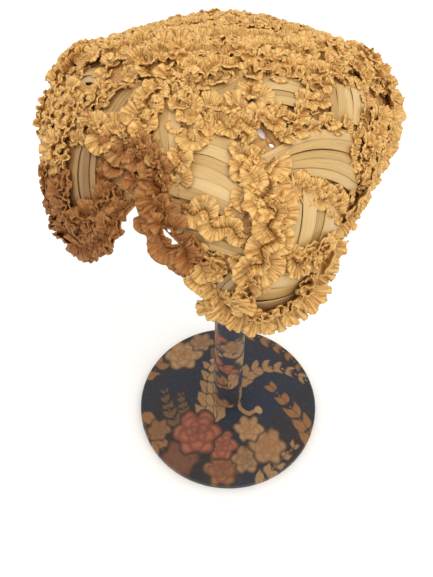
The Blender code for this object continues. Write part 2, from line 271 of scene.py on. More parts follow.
def from_plan(plan: np.ndarray) -> tuple[np.ndarray, np.ndarray]:
    """Roll points of the plan back to azimuth and drop, in radians."""
    return np.arctan2(plan[..., 1], plan[..., 0]), np.hypot(plan[..., 0], plan[..., 1])


def read_path(plan: np.ndarray, walked: np.ndarray, stations: np.ndarray) -> np.ndarray:
    """Give the places of a plan path at distances along it."""
    return np.stack([np.interp(stations, walked, plan[:, k]) for k in (0, 1)], axis=-1)


def smooth_path(points: np.ndarray, per_span: int = 40) -> np.ndarray:
    """Run a Catmull-Rom curve through way-points.

    Args:
        points: the way-points.
        per_span: how many points the curve has from one way-point to the next.

    Returns:
        The curve's points.
    """
    ends = np.vstack([2 * points[0] - points[1], points, 2 * points[-1] - points[-2]])
    t = np.linspace(0, 1, per_span, endpoint=False)[:, None]
    spans = []
    for a, b, c, d in zip(ends[:-3], ends[1:-2], ends[2:-1], ends[3:]):
        cubic = -a + 3 * b - 3 * c + d
        square = 2 * a - 5 * b + 4 * c - d
        spans.append(0.5 * (2 * b + (c - a) * t + square * t**2 + cubic * t**3))
    return np.vstack([*spans, points[-1:]])


def even_steps(form: HatForm, plan: np.ndarray, length: float) -> tuple[np.ndarray, np.ndarray]:
    """Resample a plan path evenly along the hat.

    Args:
        form: the hat's form.
        plan: the path in the flat plan.
        length: the wanted distance between points.

    Returns:
        The new plan path, and the distance walked at each of its points.
    """
    along = form.lifted(plan, 0.0)
    walked = np.concatenate([[0], np.cumsum(np.linalg.norm(np.diff(along, axis=0), axis=1))])
    stops = np.linspace(0, walked[-1], max(3, round(walked[-1] / length)) + 1)
    return read_path(plan, walked, stops), stops


def grid_faces(rows: int, columns: int, first: int = 0, closed: bool = False) -> list[tuple[int, ...]]:
    """Faces of a grid of points, row by row.

    Args:
        rows: number of rows.
        columns: number of points in a row.
        first: index of the grid's first point.
        closed: whether each row closes on itself.

    Returns:
        Quads as tuples of point indices.
    """
    i, j = np.meshgrid(np.arange(rows - 1), np.arange(columns if closed else columns - 1), indexing="ij")
    i, j = i.ravel(), j.ravel()
    k = (j + 1) % columns
    quads = np.stack([i * columns + j, i * columns + k, (i + 1) * columns + k, (i + 1) * columns + j], axis=1)
    return [tuple(quad) for quad in (quads + first).tolist()]


def flipped(faces: list[tuple[int, ...]]) -> list[tuple[int, ...]]:
    """Turn faces over."""
    return [tuple(reversed(face)) for face in faces]


def tube_faces(rows: int, around: int) -> list[tuple[int, ...]]:
    """Faces of closed rings of points, one above the other, with a lid at each end."""
    last = (rows - 1) * around
    lids = [tuple(reversed(range(around))), tuple(range(last, last + around))]
    return grid_faces(rows, around, closed=True) + lids


def turned(radii: np.ndarray, angles: np.ndarray, heights: np.ndarray) -> np.ndarray:
    """Points round the stand's axis."""
    rings = np.broadcast_arrays(radii * np.cos(angles), radii * np.sin(angles), heights)
    return np.stack(rings, axis=-1).reshape(-1, 3)


def make_piece(name: str, points: np.ndarray, faces: list,
               attributes: dict[str, np.ndarray]) -> bpy.types.Object:
    """Make a mesh object at the origin, smooth shaded, with float attributes on its points.

    Args:
        name: the object's name.
        points: its points.
        faces: its faces.
        attributes: name to a value for each point.

    Returns:
        The object, linked to the scene.
    """
    mesh = bpy.data.meshes.new(name)
    mesh.from_pydata(points.reshape(-1, 3).tolist(), [], faces)
    for key, values in attributes.items():
        kind = "FLOAT" if values.ndim == 1 else "FLOAT_COLOR"
        column = "value" if kind == "FLOAT" else "color"
        flat = np.ascontiguousarray(values, np.float32).ravel()
        mesh.attributes.new(key, kind, "POINT").data.foreach_set(column, flat)
    mesh.shade_smooth()
    item = bpy.data.objects.new(name, mesh)
    bpy.context.scene.collection.objects.link(item)
    return item


def apply_modifiers(item: bpy.types.Object) -> None:
    """Replace an object's mesh by what its modifiers make, and drop them."""
    evaluated = item.evaluated_get(bpy.context.evaluated_depsgraph_get())
    mesh = bpy.data.meshes.new_from_object(evaluated)
    item.modifiers.clear()
    old = item.data
    item.data = mesh
    bpy.data.meshes.remove(old)
    mesh.name = item.name


def add_wall(item: bpy.types.Object, thickness: float, offset: float) -> None:
    """Give an open surface its thickness."""
    wall = item.modifiers.new("wall", "SOLIDIFY")
    wall.thickness = thickness
    wall.offset = offset
    apply_modifiers(item)


def dress(item: bpy.types.Object, finish: bpy.types.Material, slot: str, *nodes: str) -> None:
    """Finish a piece.

    Args:
        item: the piece.
        finish: its material.
        slot: not used.
        nodes: the solids that it stands for.
    """
    item.data.materials.clear()
    item.data.materials.append(finish)
    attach(item, "root")
    if nodes:
        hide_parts(*nodes)
    LOG.info("%s: %d faces", item.name, len(item.data.polygons))


def solids_of(piece: str) -> list[str]:
    """The solid that a piece of straw stands for, if there is one: its name follows from the piece's."""
    node = piece.removesuffix("_row").replace("edge_ruffle", "rim_ruffle")
    return [node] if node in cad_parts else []


class Painter:
    """Builds one material's nodes and wires them to its shader."""

    # At scale 1 the wave node draws about 6.3 bands to a unit, light and dark ones together
    bands_per_unit: float = 6.3

    def __init__(self, name: str, roughness: float, specular: float = 0.5, sheen: float = 0.0) -> None:
        """Start a material.

        Args:
            name: the material's name.
            roughness: how matt it is.
            specular: how strongly it mirrors.
            sheen: how much its fine fibres catch the light.
        """
        self.made = bpy.data.materials.new(name)
        self.made.use_nodes = True
        self.tree = self.made.node_tree
        self.shader = self.tree.nodes["Principled BSDF"]
        self.shader.inputs["Roughness"].default_value = roughness
        self.shader.inputs["Specular IOR Level"].default_value = specular
        self.shader.inputs["Sheen Weight"].default_value = sheen

    def read(self, name: str, output: str = "Fac") -> Socket:
        """Read an attribute of the points."""
        return add_node(self.tree, "ShaderNodeAttribute", attribute_name=name).outputs[output]

    def place(self) -> Socket:
        """Read the place on the object."""
        return add_node(self.tree, "ShaderNodeTexCoord").outputs["Object"]

    def math(self, operation: str, *values: Socket | float) -> Socket:
        """Work one operation on values."""
        return add_node(self.tree, "ShaderNodeMath", dict(enumerate(values)), operation=operation).outputs[0]

    def zigzag(self, value: Socket, period: float) -> Socket:
        """Let a value run from 0 to 1 and back over each period."""
        return self.math("DIVIDE", self.math("PINGPONG", value, period / 2), period / 2)

    def noise(self, scale: float, detail: float, roughness: float = 0.5,
              vector: Socket | None = None) -> Socket:
        """Draw smooth noise.

        Args:
            scale: how many blots there are to a unit.
            detail: how many finer layers it has.
            roughness: how strong they are.
            vector: where to read it, if not at the place on the object.

        Returns:
            The noise, 0 to 1.
        """
        values = {"Vector": vector or self.place(), "Scale": scale, "Detail": detail, "Roughness": roughness}
        return add_node(self.tree, "ShaderNodeTexNoise", values).outputs["Fac"]

    def threads(self, thread_mm: float, detail: float, way: str) -> Socket:
        """Draw threads side by side that waver a little.

        Args:
            thread_mm: how wide each thread is, about.
            detail: how many finer layers the wavering has.
            way: the axis that they follow one another along.

        Returns:
            How high the threads stand, 0 to 1.
        """
        scale = 1 / (self.bands_per_unit * thread_mm * MM)
        values = {"Vector": self.place(), "Scale": scale, "Distortion": 0.6, "Detail": detail}
        return add_node(self.tree, "ShaderNodeTexWave", values, bands_direction=way).outputs["Fac"]

    def spread(self, value: Socket, low: float, high: float, start: float = 0, end: float = 1) -> Socket:
        """Map values from between start and end to between low and high."""
        values = {"Value": value, "From Min": start, "From Max": end, "To Min": low, "To Max": high}
        return add_node(self.tree, "ShaderNodeMapRange", values).outputs["Result"]

    def ramp(self, value: Socket, first: tuple, last: tuple, *between: tuple) -> Socket:
        """Turn values to colours by stops, each a position and an sRGB colour.

        Args:
            value: the values.
            first: the lowest stop.
            last: the highest stop.
            between: the other stops.

        Returns:
            The colours.
        """
        ramp = add_node(self.tree, "ShaderNodeValToRGB", {"Fac": value})
        stops = ramp.color_ramp.elements
        for stop, (position, colour) in zip(stops, (first, last)):
            stop.position = position
            stop.color = linear(colour)
        for position, colour in between:
            stops.new(position).color = linear(colour)
        return ramp.outputs["Color"]

    def mix(self, share: Socket, under: Socket | tuple, over: str, blend: str = "MIX") -> Socket:
        """Lay an sRGB colour over another by a share."""
        values = {"Factor": share, "A": under, "B": linear(over)}
        mixed = add_node(self.tree, "ShaderNodeMix", values, data_type="RGBA", blend_type=blend)
        return mixed.outputs["Result"]

    def brighten(self, colour: Socket, value: Socket) -> Socket:
        """Scale a colour's brightness."""
        scaled = add_node(self.tree, "ShaderNodeHueSaturation", {"Color": colour, "Value": value})
        return scaled.outputs["Color"]

    def finish(self, colour: Socket, height: Socket, strength: float,
               depth_mm: float) -> bpy.types.Material:
        """Wire the colour and the relief to the shader.

        Args:
            colour: the colour.
            height: the relief's height, 0 to 1.
            strength: how strongly the relief turns the light.
            depth_mm: how deep it looks.

        Returns:
            The material.
        """
        values = {"Height": height, "Strength": strength, "Distance": depth_mm * MM}
        bump = add_node(self.tree, "ShaderNodeBump", values)
        self.tree.links.new(colour, self.shader.inputs["Base Color"])
        self.tree.links.new(bump.outputs["Normal"], self.shader.inputs["Normal"])
        return self.made


@dataclass(frozen=True)
class RuffledStraw:
    """Crimped straw braid: matt, with painted highlight on each crimp's crest and painted shade in its
    groove.
    """

    name: str = "crimped_straw_braid"
    groove: str = "#A35C1A"
    body: str = "#CB954A"
    crest: str = "#E4BA73"
    # Tint of the painted shade on the hat's shadow side and in the crease by the seam
    shade_tint: str = "#AF886B"
    roughness: float = 0.62
    fibre_mm: float = 1.0

    def material(self) -> bpy.types.Material:
        """Build the material from the rib, fold, tone and shade attributes."""
        paint = Painter(self.name, self.roughness, specular=0.35)
        # The plait's beads are about 0.4 mm; they are drawn coarser so that they show
        fibre = paint.noise(1 / (self.fibre_mm * MM), 3.0, 0.6)
        # Painted light and shade: the rib lights each crimp's crest and darkens its groove, and the fold
        # darkens the seam side
        lit = paint.math("MULTIPLY", paint.read("rib"), 0.7)
        for value, share in ((paint.read("fold"), 0.3), (fibre, 0.3), (paint.read("tone"), 0.22)):
            lit = paint.math("MULTIPLY_ADD", value, share, lit)
        straw = paint.ramp(lit, (0.22, self.groove), (1.0, self.crest), (0.56, self.body))
        # Painted shade: the shade attribute darkens the straw towards the shade tint
        painted_shade = paint.mix(paint.read("shade"), straw, self.shade_tint, "MULTIPLY")
        mottle = paint.spread(paint.noise(90.0, 2.0), 0.86, 1.14)
        return paint.finish(paint.brighten(painted_shade, mottle), fibre, 0.7, 0.6)


@dataclass(frozen=True)
class FlatStraw:
    """Split and flattened oat straw: satin along the grain, with fine streaks."""

    name: str = "flattened_oat_straw"
    dark: str = "#99703A"
    body: str = "#BC9757"
    light: str = "#CFAE77"
    # Tint of the painted shade on patches on the hat's shadow side
    shade_tint: str = "#B09884"
    roughness: float = 0.27
    stretch: tuple[float, float, float] = (60.0, 5.0, 40.0)

    def material(self) -> bpy.types.Material:
        """Build the material from the along, across, tone and shade attributes."""
        paint = Painter(self.name, self.roughness, sheen=0.1)
        tone = paint.read("tone")
        # Streaks run along the straw: long in one direction, half a millimetre apart in the other
        values = {"X": paint.read("along"), "Y": paint.read("across"), "Z": tone}
        grain = add_node(paint.tree, "ShaderNodeCombineXYZ", values).outputs["Vector"]
        values = {0: grain, 1: self.stretch}
        stretched = add_node(paint.tree, "ShaderNodeVectorMath", values, operation="MULTIPLY")
        streak = paint.noise(1.0, 4.0, 0.65, stretched.outputs["Vector"])
        mixed = paint.math("MULTIPLY_ADD", streak, 0.75, paint.math("MULTIPLY", tone, 0.45))
        straw = paint.ramp(mixed, (0.22, self.dark), (0.85, self.light), (0.52, self.body))
        # Painted shade: patches on the hat's shadow side are darkened towards the shade tint
        painted_shade = paint.mix(paint.read("shade"), straw, self.shade_tint, "MULTIPLY")
        return paint.finish(painted_shade, streak, 0.3, 0.15)


@dataclass(frozen=True)
class PlaitedStraw:
    """Plaited straw braid sewn in rows: the brown ground under the ruffles."""

    name: str = "plaited_straw_braid"
    dark: str = "#BB8142"
    light: str = "#E3B572"
    roughness: float = 0.6
    row_mm: float = 6.0
    plait_mm: float = 3.2

    def material(self) -> bpy.types.Material:
        """Build the material from the around and down attributes, both in millimetres."""
        paint = Painter(self.name, self.roughness)
        row = paint.zigzag(paint.read("down"), self.row_mm)
        # Each plait slants one way above the row's middle and the other way below it
        slant = paint.math("MULTIPLY_ADD", row, self.plait_mm * 0.9, paint.read("around"))
        height = paint.math("MULTIPLY", row, paint.zigzag(slant, self.plait_mm))
        mixed = paint.math("MULTIPLY_ADD", paint.noise(700.0, 3.0), 0.6, height)
        return paint.finish(paint.ramp(mixed, (0.25, self.dark), (1.0, self.light)), height, 0.8, 0.8)


@dataclass(frozen=True)
class PrintedCotton:
    """Glazed cotton with a woven thread and a print carried on the points: a faint shine on dark cloth."""

    name: str = "glazed_printed_cotton"
    wear: str = "#7E6A52"
    thread_mm: float = 0.9
    roughness: float = 0.62

    def material(self) -> bpy.types.Material:
        """Build the material from the print attribute."""
        paint = Painter(self.name, self.roughness, specular=0.3, sheen=0.04)
        # The real thread is about 0.3 mm; it is drawn coarser so that it shows
        weave = paint.math("MAXIMUM", *[paint.threads(self.thread_mm, 1.0, way) for way in "XY"])
        worn = paint.spread(paint.noise(260.0, 4.0, 0.7), 0.0, 0.2, start=0.52, end=0.9)
        cloth = paint.mix(worn, paint.read("print", "Color"), self.wear)
        return paint.finish(paint.brighten(cloth, paint.spread(weave, 0.86, 1.08)), weave, 0.25, 0.2)


@dataclass(frozen=True)
class PlainCotton:
    """Plain pale cotton: matt, with a soft weave and slight soiling."""

    name: str = "plain_pale_cotton"
    pale: str = "#F4EFE4"
    soiled: str = "#DCD2BF"
    thread_mm: float = 0.9
    roughness: float = 0.85

    def material(self) -> bpy.types.Material:
        """Build the material, with its threads coarser than the real 0.3 mm so that they show."""
        paint = Painter(self.name, self.roughness)
        cloth = paint.mix(paint.noise(60.0, 3.0), linear(self.pale), self.soiled)
        return paint.finish(cloth, paint.threads(self.thread_mm, 2.0, "DIAGONAL"), 0.3, 0.2)


class Gap(NamedTuple):
    """A gap between straws, cut through the shell."""

    azimuth: float
    drop: float
    length_mm: float
    width_mm: float


GAPS = (
    Gap(-64, 27, 8.5, 4.5),
    Gap(-62, 33, 3.0, 3.0),
    Gap(-70, 37, 5.0, 2.4),
    Gap(-108, 48, 4.5, 2.4),
    Gap(-107, 63, 5.0, 2.5),
    Gap(-104, 68, 3.5, 4.5),
    Gap(-92, 91, 4.5, 4.0),
    Gap(-121, 61, 3.0, 3.0),
)


def gap_places(form: HatForm) -> np.ndarray:
    """Places that stay open, so that one sees through the gaps from the front and above.

    Args:
        form: the hat's form.

    Returns:
        Points of shape (gaps, 3, 3): for each gap its middle, and two points out of it to the front and up.
    """
    middles = form.outer(np.radians([gap.azimuth for gap in GAPS]), np.radians([gap.drop for gap in GAPS]))
    toward_front = np.array((0.0, -0.6, 0.8))
    return np.stack([middles + height * MM * toward_front for height in (0, 3, 6)], axis=1)


@dataclass
class Shell:
    """The thin plaited shell that everything is sewn to."""

    form: HatForm
    around: int = 150
    down: int = 42
    plait_radius_mm: float = 100.0
    widest_ring: float = 1.5
    gap_depth: float = 12 * MM
    gap_slack: float = 1.1

    def build(self) -> bpy.types.Object:
        """Make the shell's outer face and its wall, and cut the gaps."""
        azimuth = np.linspace(0, 2 * math.pi, self.around, endpoint=False)
        share = np.linspace(0, 1, self.down + 1)[1:]
        drops = share[:, None] * self.form.edge_drop(azimuth)[None, :]
        ring = self.form.outer(azimuth[None, :] + 0 * drops, drops)
        top = self.form.outer(np.array([0.0]), np.array([0.0]))
        points = np.vstack([top, ring.reshape(-1, 3)])
        faces = grid_faces(self.down, self.around, first=1, closed=True)
        faces += [(0, 1 + j, 1 + (j + 1) % self.around) for j in range(self.around)]
        # The plait is laid out as on a ball down to its widest ring, and as on a drum below that
        girth = np.sin(np.minimum(drops, self.widest_ring)) * self.plait_radius_mm
        around = np.concatenate([[0.0], (azimuth[None, :] * girth).ravel()])
        down = np.concatenate([[0.0], (drops * self.plait_radius_mm).ravel()])
        item = make_piece("hat_shell", points, flipped(faces), {"around": around, "down": down})
        shape = bmesh.new()
        shape.from_mesh(item.data)
        bmesh.ops.recalc_face_normals(shape, faces=shape.faces)
        shape.to_mesh(item.data)
        shape.free()
        item.data.shade_smooth()
        add_wall(item, self.form.wall, -1)
        self.cut_gaps(item)
        return item

    def cut_gaps(self, item: bpy.types.Object) -> None:
        """Cut the gaps through the wall.

        Args:
            item: the shell, cut in place.
        """
        shape = bmesh.new()
        for gap in GAPS:
            place = math.radians(gap.azimuth), math.radians(gap.drop)
            middle, normal = self.form.outer(*place), self.form.normal(*place)
            down = self.form.downward(*place)
            length = self.gap_slack * gap.length_mm * MM * down
            width = self.gap_slack * gap.width_mm * MM * unit(np.cross(normal, down))
            block = bmesh.ops.create_uvsphere(shape, u_segments=12, v_segments=8, radius=0.5)
            for vertex in block["verts"]:
                x, y, z = vertex.co
                vertex.co = middle + x * length + y * width + z * self.gap_depth * normal
        bmesh.ops.recalc_face_normals(shape, faces=shape.faces)
        mesh = bpy.data.meshes.new("gap_cutter")
        shape.to_mesh(mesh)
        shape.free()
        cutter = bpy.data.objects.new("gap_cutter", mesh)
        bpy.context.scene.collection.objects.link(cutter)
        cut = item.modifiers.new("gaps", "BOOLEAN")
        cut.operation = "DIFFERENCE"
        cut.object = cutter
        apply_modifiers(item)
        bpy.data.objects.remove(cutter, do_unlink=True)


class ShadowSideStart(NamedTuple):
    """The drop from which painted shade darkens the straw on the hat's shadow side, at an azimuth."""

    azimuth: float
    drop: float


# Painted shade on the hat's shadow side, from the left round to the front: the drop where it begins
SHADOW_SIDE = tuple(
    ShadowSideStart(*row)
    for row in (
        (0, 140), (165, 140), (175, 106), (185, 92), (194, 78), (204, 67), (210, 54), (214, 44), (223, 40),
        (236, 38), (246, 40), (254, 48), (259, 57), (261, 70), (263, 84), (267, 104), (272, 140),
    )
)


class Fullness(NamedTuple):
    """How full the outer ruffles are, as a share of their width, at an azimuth."""

    azimuth: float
    share: float


FULLNESS = tuple(
    Fullness(*row)
    for row in (
        (0, 1.0), (15, 1.2), (30, 1.2), (42, 0.8), (60, 0.8), (80, 1.0), (98, 0.95), (112, 0.6), (128, 0.45),
        (140, 0.7), (152, 1.3), (166, 1.2), (180, 1.0), (190, 0.75), (197, 1.15), (203, 1.5), (211, 1.2),
        (218, 0.9), (228, 0.75), (240, 0.9), (250, 1.2), (262, 1.3), (270, 1.2), (281, 1.1), (291, 1.35),
        (300, 1.4), (308, 1.0), (330, 0.85), (345, 0.85),
    )
)


def fullness(form: HatForm, azimuth: np.ndarray, drop: np.ndarray, full_zone: float = 18,
             lean_zone: float = 42, blend: float = 10) -> np.ndarray:
    """The share of its width that a ruffle has at a place.

    Args:
        form: the hat's form.
        azimuth: azimuths in radians.
        drop: drops in radians.
        full_zone: how far in from the edge shares above one hold, degrees.
        lean_zone: how far in shares below one hold, degrees.
        blend: over how many degrees they fade in.

    Returns:
        A share for each place.
    """
    rows = np.array(FULLNESS)
    share = np.interp(np.degrees(azimuth), rows[:, 0], rows[:, 1], period=360)
    depth = np.degrees(drop - form.edge_drop(azimuth)) + np.where(share > 1, full_zone, lean_zone)
    return 1 + (share - 1) * np.clip(depth / blend, 0, 1)


class Flounce(NamedTuple):
    """One flounce of a ruffle: the side of the seam, its lean from upright and its folds."""

    side: int
    spread: float
    width_share: float
    fold_mm: float
    fold_angle: float
    pinch: float


class Gather(Enum):
    """How a ruffle's flounces lie."""

    ROW = (
        Flounce(-1, 74, 0.85, 6.0, 13, 0.5),
        Flounce(1, 74, 0.85, 6.0, 13, 0.5),
        Flounce(1, 30, 0.55, 5.0, 18, 0.0),
    )
    EDGE = (
        Flounce(-1, 98, 1.0, 7.0, 9, 0.35),
        Flounce(-1, 58, 0.85, 6.5, 13, 0.3),
        Flounce(1, 72, 1.0, 6.5, 11, 0.5),
    )
    UPRIGHT = (
        Flounce(-1, 62, 0.8, 6.5, 12, 0.4),
        Flounce(-1, 22, 1.0, 6.5, 14, 0.3),
        Flounce(1, 50, 0.9, 6.5, 13, 0.4),
    )
    NARROW = (
        Flounce(-1, 68, 1.0, 6.5, 12, 0.4),
        Flounce(1, 68, 1.0, 6.5, 12, 0.4),
    )


class Ruffle(NamedTuple):
    """A length of crimped braid, gathered along its seam, which runs through azimuths and drops."""

    name: str
    width_mm: float
    gather: Gather
    way_points: tuple


RUFFLES = (
    Ruffle("ruffle_back_row", 12, Gather.ROW, (
        (160, 52), (148, 40), (126, 32), (96, 30), (66, 32), (42, 38), (22, 45), (9, 52))),
    Ruffle("ruffle_back_low_row", 11, Gather.ROW, ((150, 58), (126, 51), (96, 49), (66, 51), (38, 57))),
    Ruffle("ruffle_crown_row", 12, Gather.ROW, (
        (166, 30), (158, 20), (130, 11), (58, 9), (32, 18), (20, 29), (8, 38))),
    Ruffle("ruffle_middle_row", 8, Gather.ROW, (
        (-174, 21), (-150, 17), (-122, 19), (-104, 22), (-84, 22), (-64, 23), (-42, 30), (-22, 37))),
    Ruffle("ruffle_right_row", 12, Gather.ROW, ((4, 58), (-7, 65), (-17, 70), (-30, 74))),
    Ruffle("ruffle_fold_row", 12, Gather.ROW, (
        (-69, 33), (-73, 42), (-74, 51), (-73, 60), (-76, 70), (-81, 81), (-81, 94))),
    Ruffle("ruffle_divider_row", 9, Gather.ROW, ((-68, 46), (-60, 53), (-52, 63), (-46, 74), (-43, 84))),
    Ruffle("ruffle_fan_row", 10, Gather.ROW, ((-73, 77), (-64, 82), (-56, 89), (-50, 95))),
    Ruffle("ruffle_left_of_front_row", 8, Gather.NARROW, ((-112, 32), (-109, 42), (-107, 50))),
    Ruffle("ruffle_under_front_row", 7.5, Gather.NARROW, ((-104, 55), (-96, 57), (-88, 62), (-82, 66))),
    Ruffle("ruffle_under_notch_row", 8, Gather.NARROW, ((-98, 77), (-92, 80), (-88, 81))),
    Ruffle("ruffle_notch_row", 12, Gather.ROW, (
        (-158, 48), (-144, 42), (-130, 43), (-120, 42), (-115, 47), (-112, 53), (-110, 58))),
    Ruffle("ruffle_side_lobe_row", 12, Gather.ROW, ((-132, 58), (-137, 80), (-146, 96))),
    Ruffle("ruffle_left_row", 12, Gather.ROW, ((170, 56), (-178, 53), (-168, 58), (-163, 68), (-160, 84))),
    Ruffle("filler_back_row", 11, Gather.ROW, (
        (149, 49), (126, 42), (96, 40), (66, 42), (40, 48), (25, 53), (12, 60))),
    Ruffle("filler_crown_back_row", 11, Gather.ROW, (
        (160, 41), (146, 30), (122, 21), (90, 19), (60, 20), (38, 27), (24, 36), (14, 44))),
    Ruffle("filler_crown_row", 10, Gather.ROW, (
        (176, 14), (180, 6), (40, 4), (16, 11), (8, 20), (4, 29), (-1, 37))),
    Ruffle("filler_crown_split_row", 8, Gather.NARROW, ((-37, 9), (-45, 15), (-53, 20))),
    Ruffle("filler_right_row", 11, Gather.ROW, ((6, 65), (-6, 72), (-17, 78), (-30, 80))),
    Ruffle("filler_left_row", 11, Gather.ROW, (
        (160, 66), (172, 69), (180, 70), (-172, 72), (-165, 79), (-162, 88), (-158, 95), (-153, 92))),
    Ruffle("filler_side_lobe_row", 11, Gather.ROW, ((-160, 60), (-154, 70), (-150, 82), (-149, 93))),
    Ruffle("filler_left_crown_row", 10, Gather.ROW, ((177, 34), (-177, 40), (-170, 45), (-161, 47))),
    Ruffle("filler_left_split_row", 9, Gather.NARROW, ((-166, 17), (-151, 25), (-142, 33), (-137, 41))),
    Ruffle("filler_fold_row", 9, Gather.ROW, ((-78, 29), (-79, 39), (-80, 49), (-80, 59))),
    Ruffle("filler_notch_row", 8, Gather.NARROW, ((-132, 48), (-138, 51), (-144, 52))),
    Ruffle("filler_notch_edge_row", 8, Gather.NARROW, (
        (-118, 59), (-112, 65), (-107, 69), (-103, 74), (-100, 80))),
    Ruffle("filler_front_row", 8, Gather.NARROW, ((-125, 24), (-106, 28), (-90, 27))),
    Ruffle("shoulder_right_row", 10, Gather.UPRIGHT, ((10, 62), (18, 60), (28, 58), (38, 58))),
    Ruffle("shoulder_left_row", 10, Gather.UPRIGHT, ((138, 58), (147, 59), (156, 62), (165, 68))),
)


class EdgeRuffle(NamedTuple):
    """A length of the ruffle on the shell's edge, between two azimuths."""

    name: str
    first: float
    last: float
    width_mm: float


EDGE_RUFFLES = (
    EdgeRuffle("edge_ruffle_right", -48, 20, 11),
    EdgeRuffle("edge_ruffle_back_right", 19, 90, 12),
    EdgeRuffle("edge_ruffle_back_left", 89, 162, 12),
    EdgeRuffle("edge_ruffle_left", 161, 190, 11),
    EdgeRuffle("edge_ruffle_side_lobe", 189, 238, 10),
    EdgeRuffle("edge_ruffle_notch", 242, 270, 9),
    EdgeRuffle("edge_ruffle_forehead", 269, 313, 14),
)


@dataclass
class Seam:
    """The line a ruffle is sewn along: it winds from side to side of its way-points."""

    form: HatForm
    plan: np.ndarray
    winding: float
    wind_length: float
    lift: float
    seed: int
    step: float = 0.5 * MM
    pace: Unevenness = Unevenness(0.4, 20)
    swing: Unevenness = Unevenness(0.4, 15)
    taper: float = 8 * MM

    def __post_init__(self) -> None:
        """Measure the seam and work out where it winds."""
        self.plan, self.walked = even_steps(self.form, self.plan, self.step)
        self.length = self.walked[-1]
        pace = self.pace.along(self.length, self.seed, self.walked)
        self.phase = wave_phase(self.walked, pace, self.wind_length, self.seed)

    def spots(self, stations: np.ndarray) -> tuple[np.ndarray, np.ndarray]:
        """Give the azimuth and the drop at stations along the seam, in radians."""
        return from_plan(read_path(self.plan, self.walked, stations))

    def at(self, stations: np.ndarray) -> tuple[np.ndarray, ...]:
        """Give the seam's frame at stations along it.

        Args:
            stations: distances from the seam's start.

        Returns:
            Places, directions ahead, directions to the left, normals, and the winding to the left, -1 to 1.
        """
        plan = read_path(self.plan, self.walked, stations)
        base = self.form.lifted(plan, self.lift)
        normal = self.form.normal(*from_plan(plan))
        left = unit(np.cross(normal, unit(np.gradient(base, axis=0))))
        size = self.swing.along(self.length, self.seed + 1, stations)
        wind = np.sin(np.interp(stations, self.walked, self.phase)) * size
        ends = np.clip(np.minimum(stations, self.length - stations) / self.taper, 0, 1)
        place = base + (self.winding * wind * ends)[:, None] * left
        ahead = unit(np.gradient(place, axis=0))
        return place, ahead, unit(np.cross(normal, ahead)), normal, np.clip(wind, -1, 1)


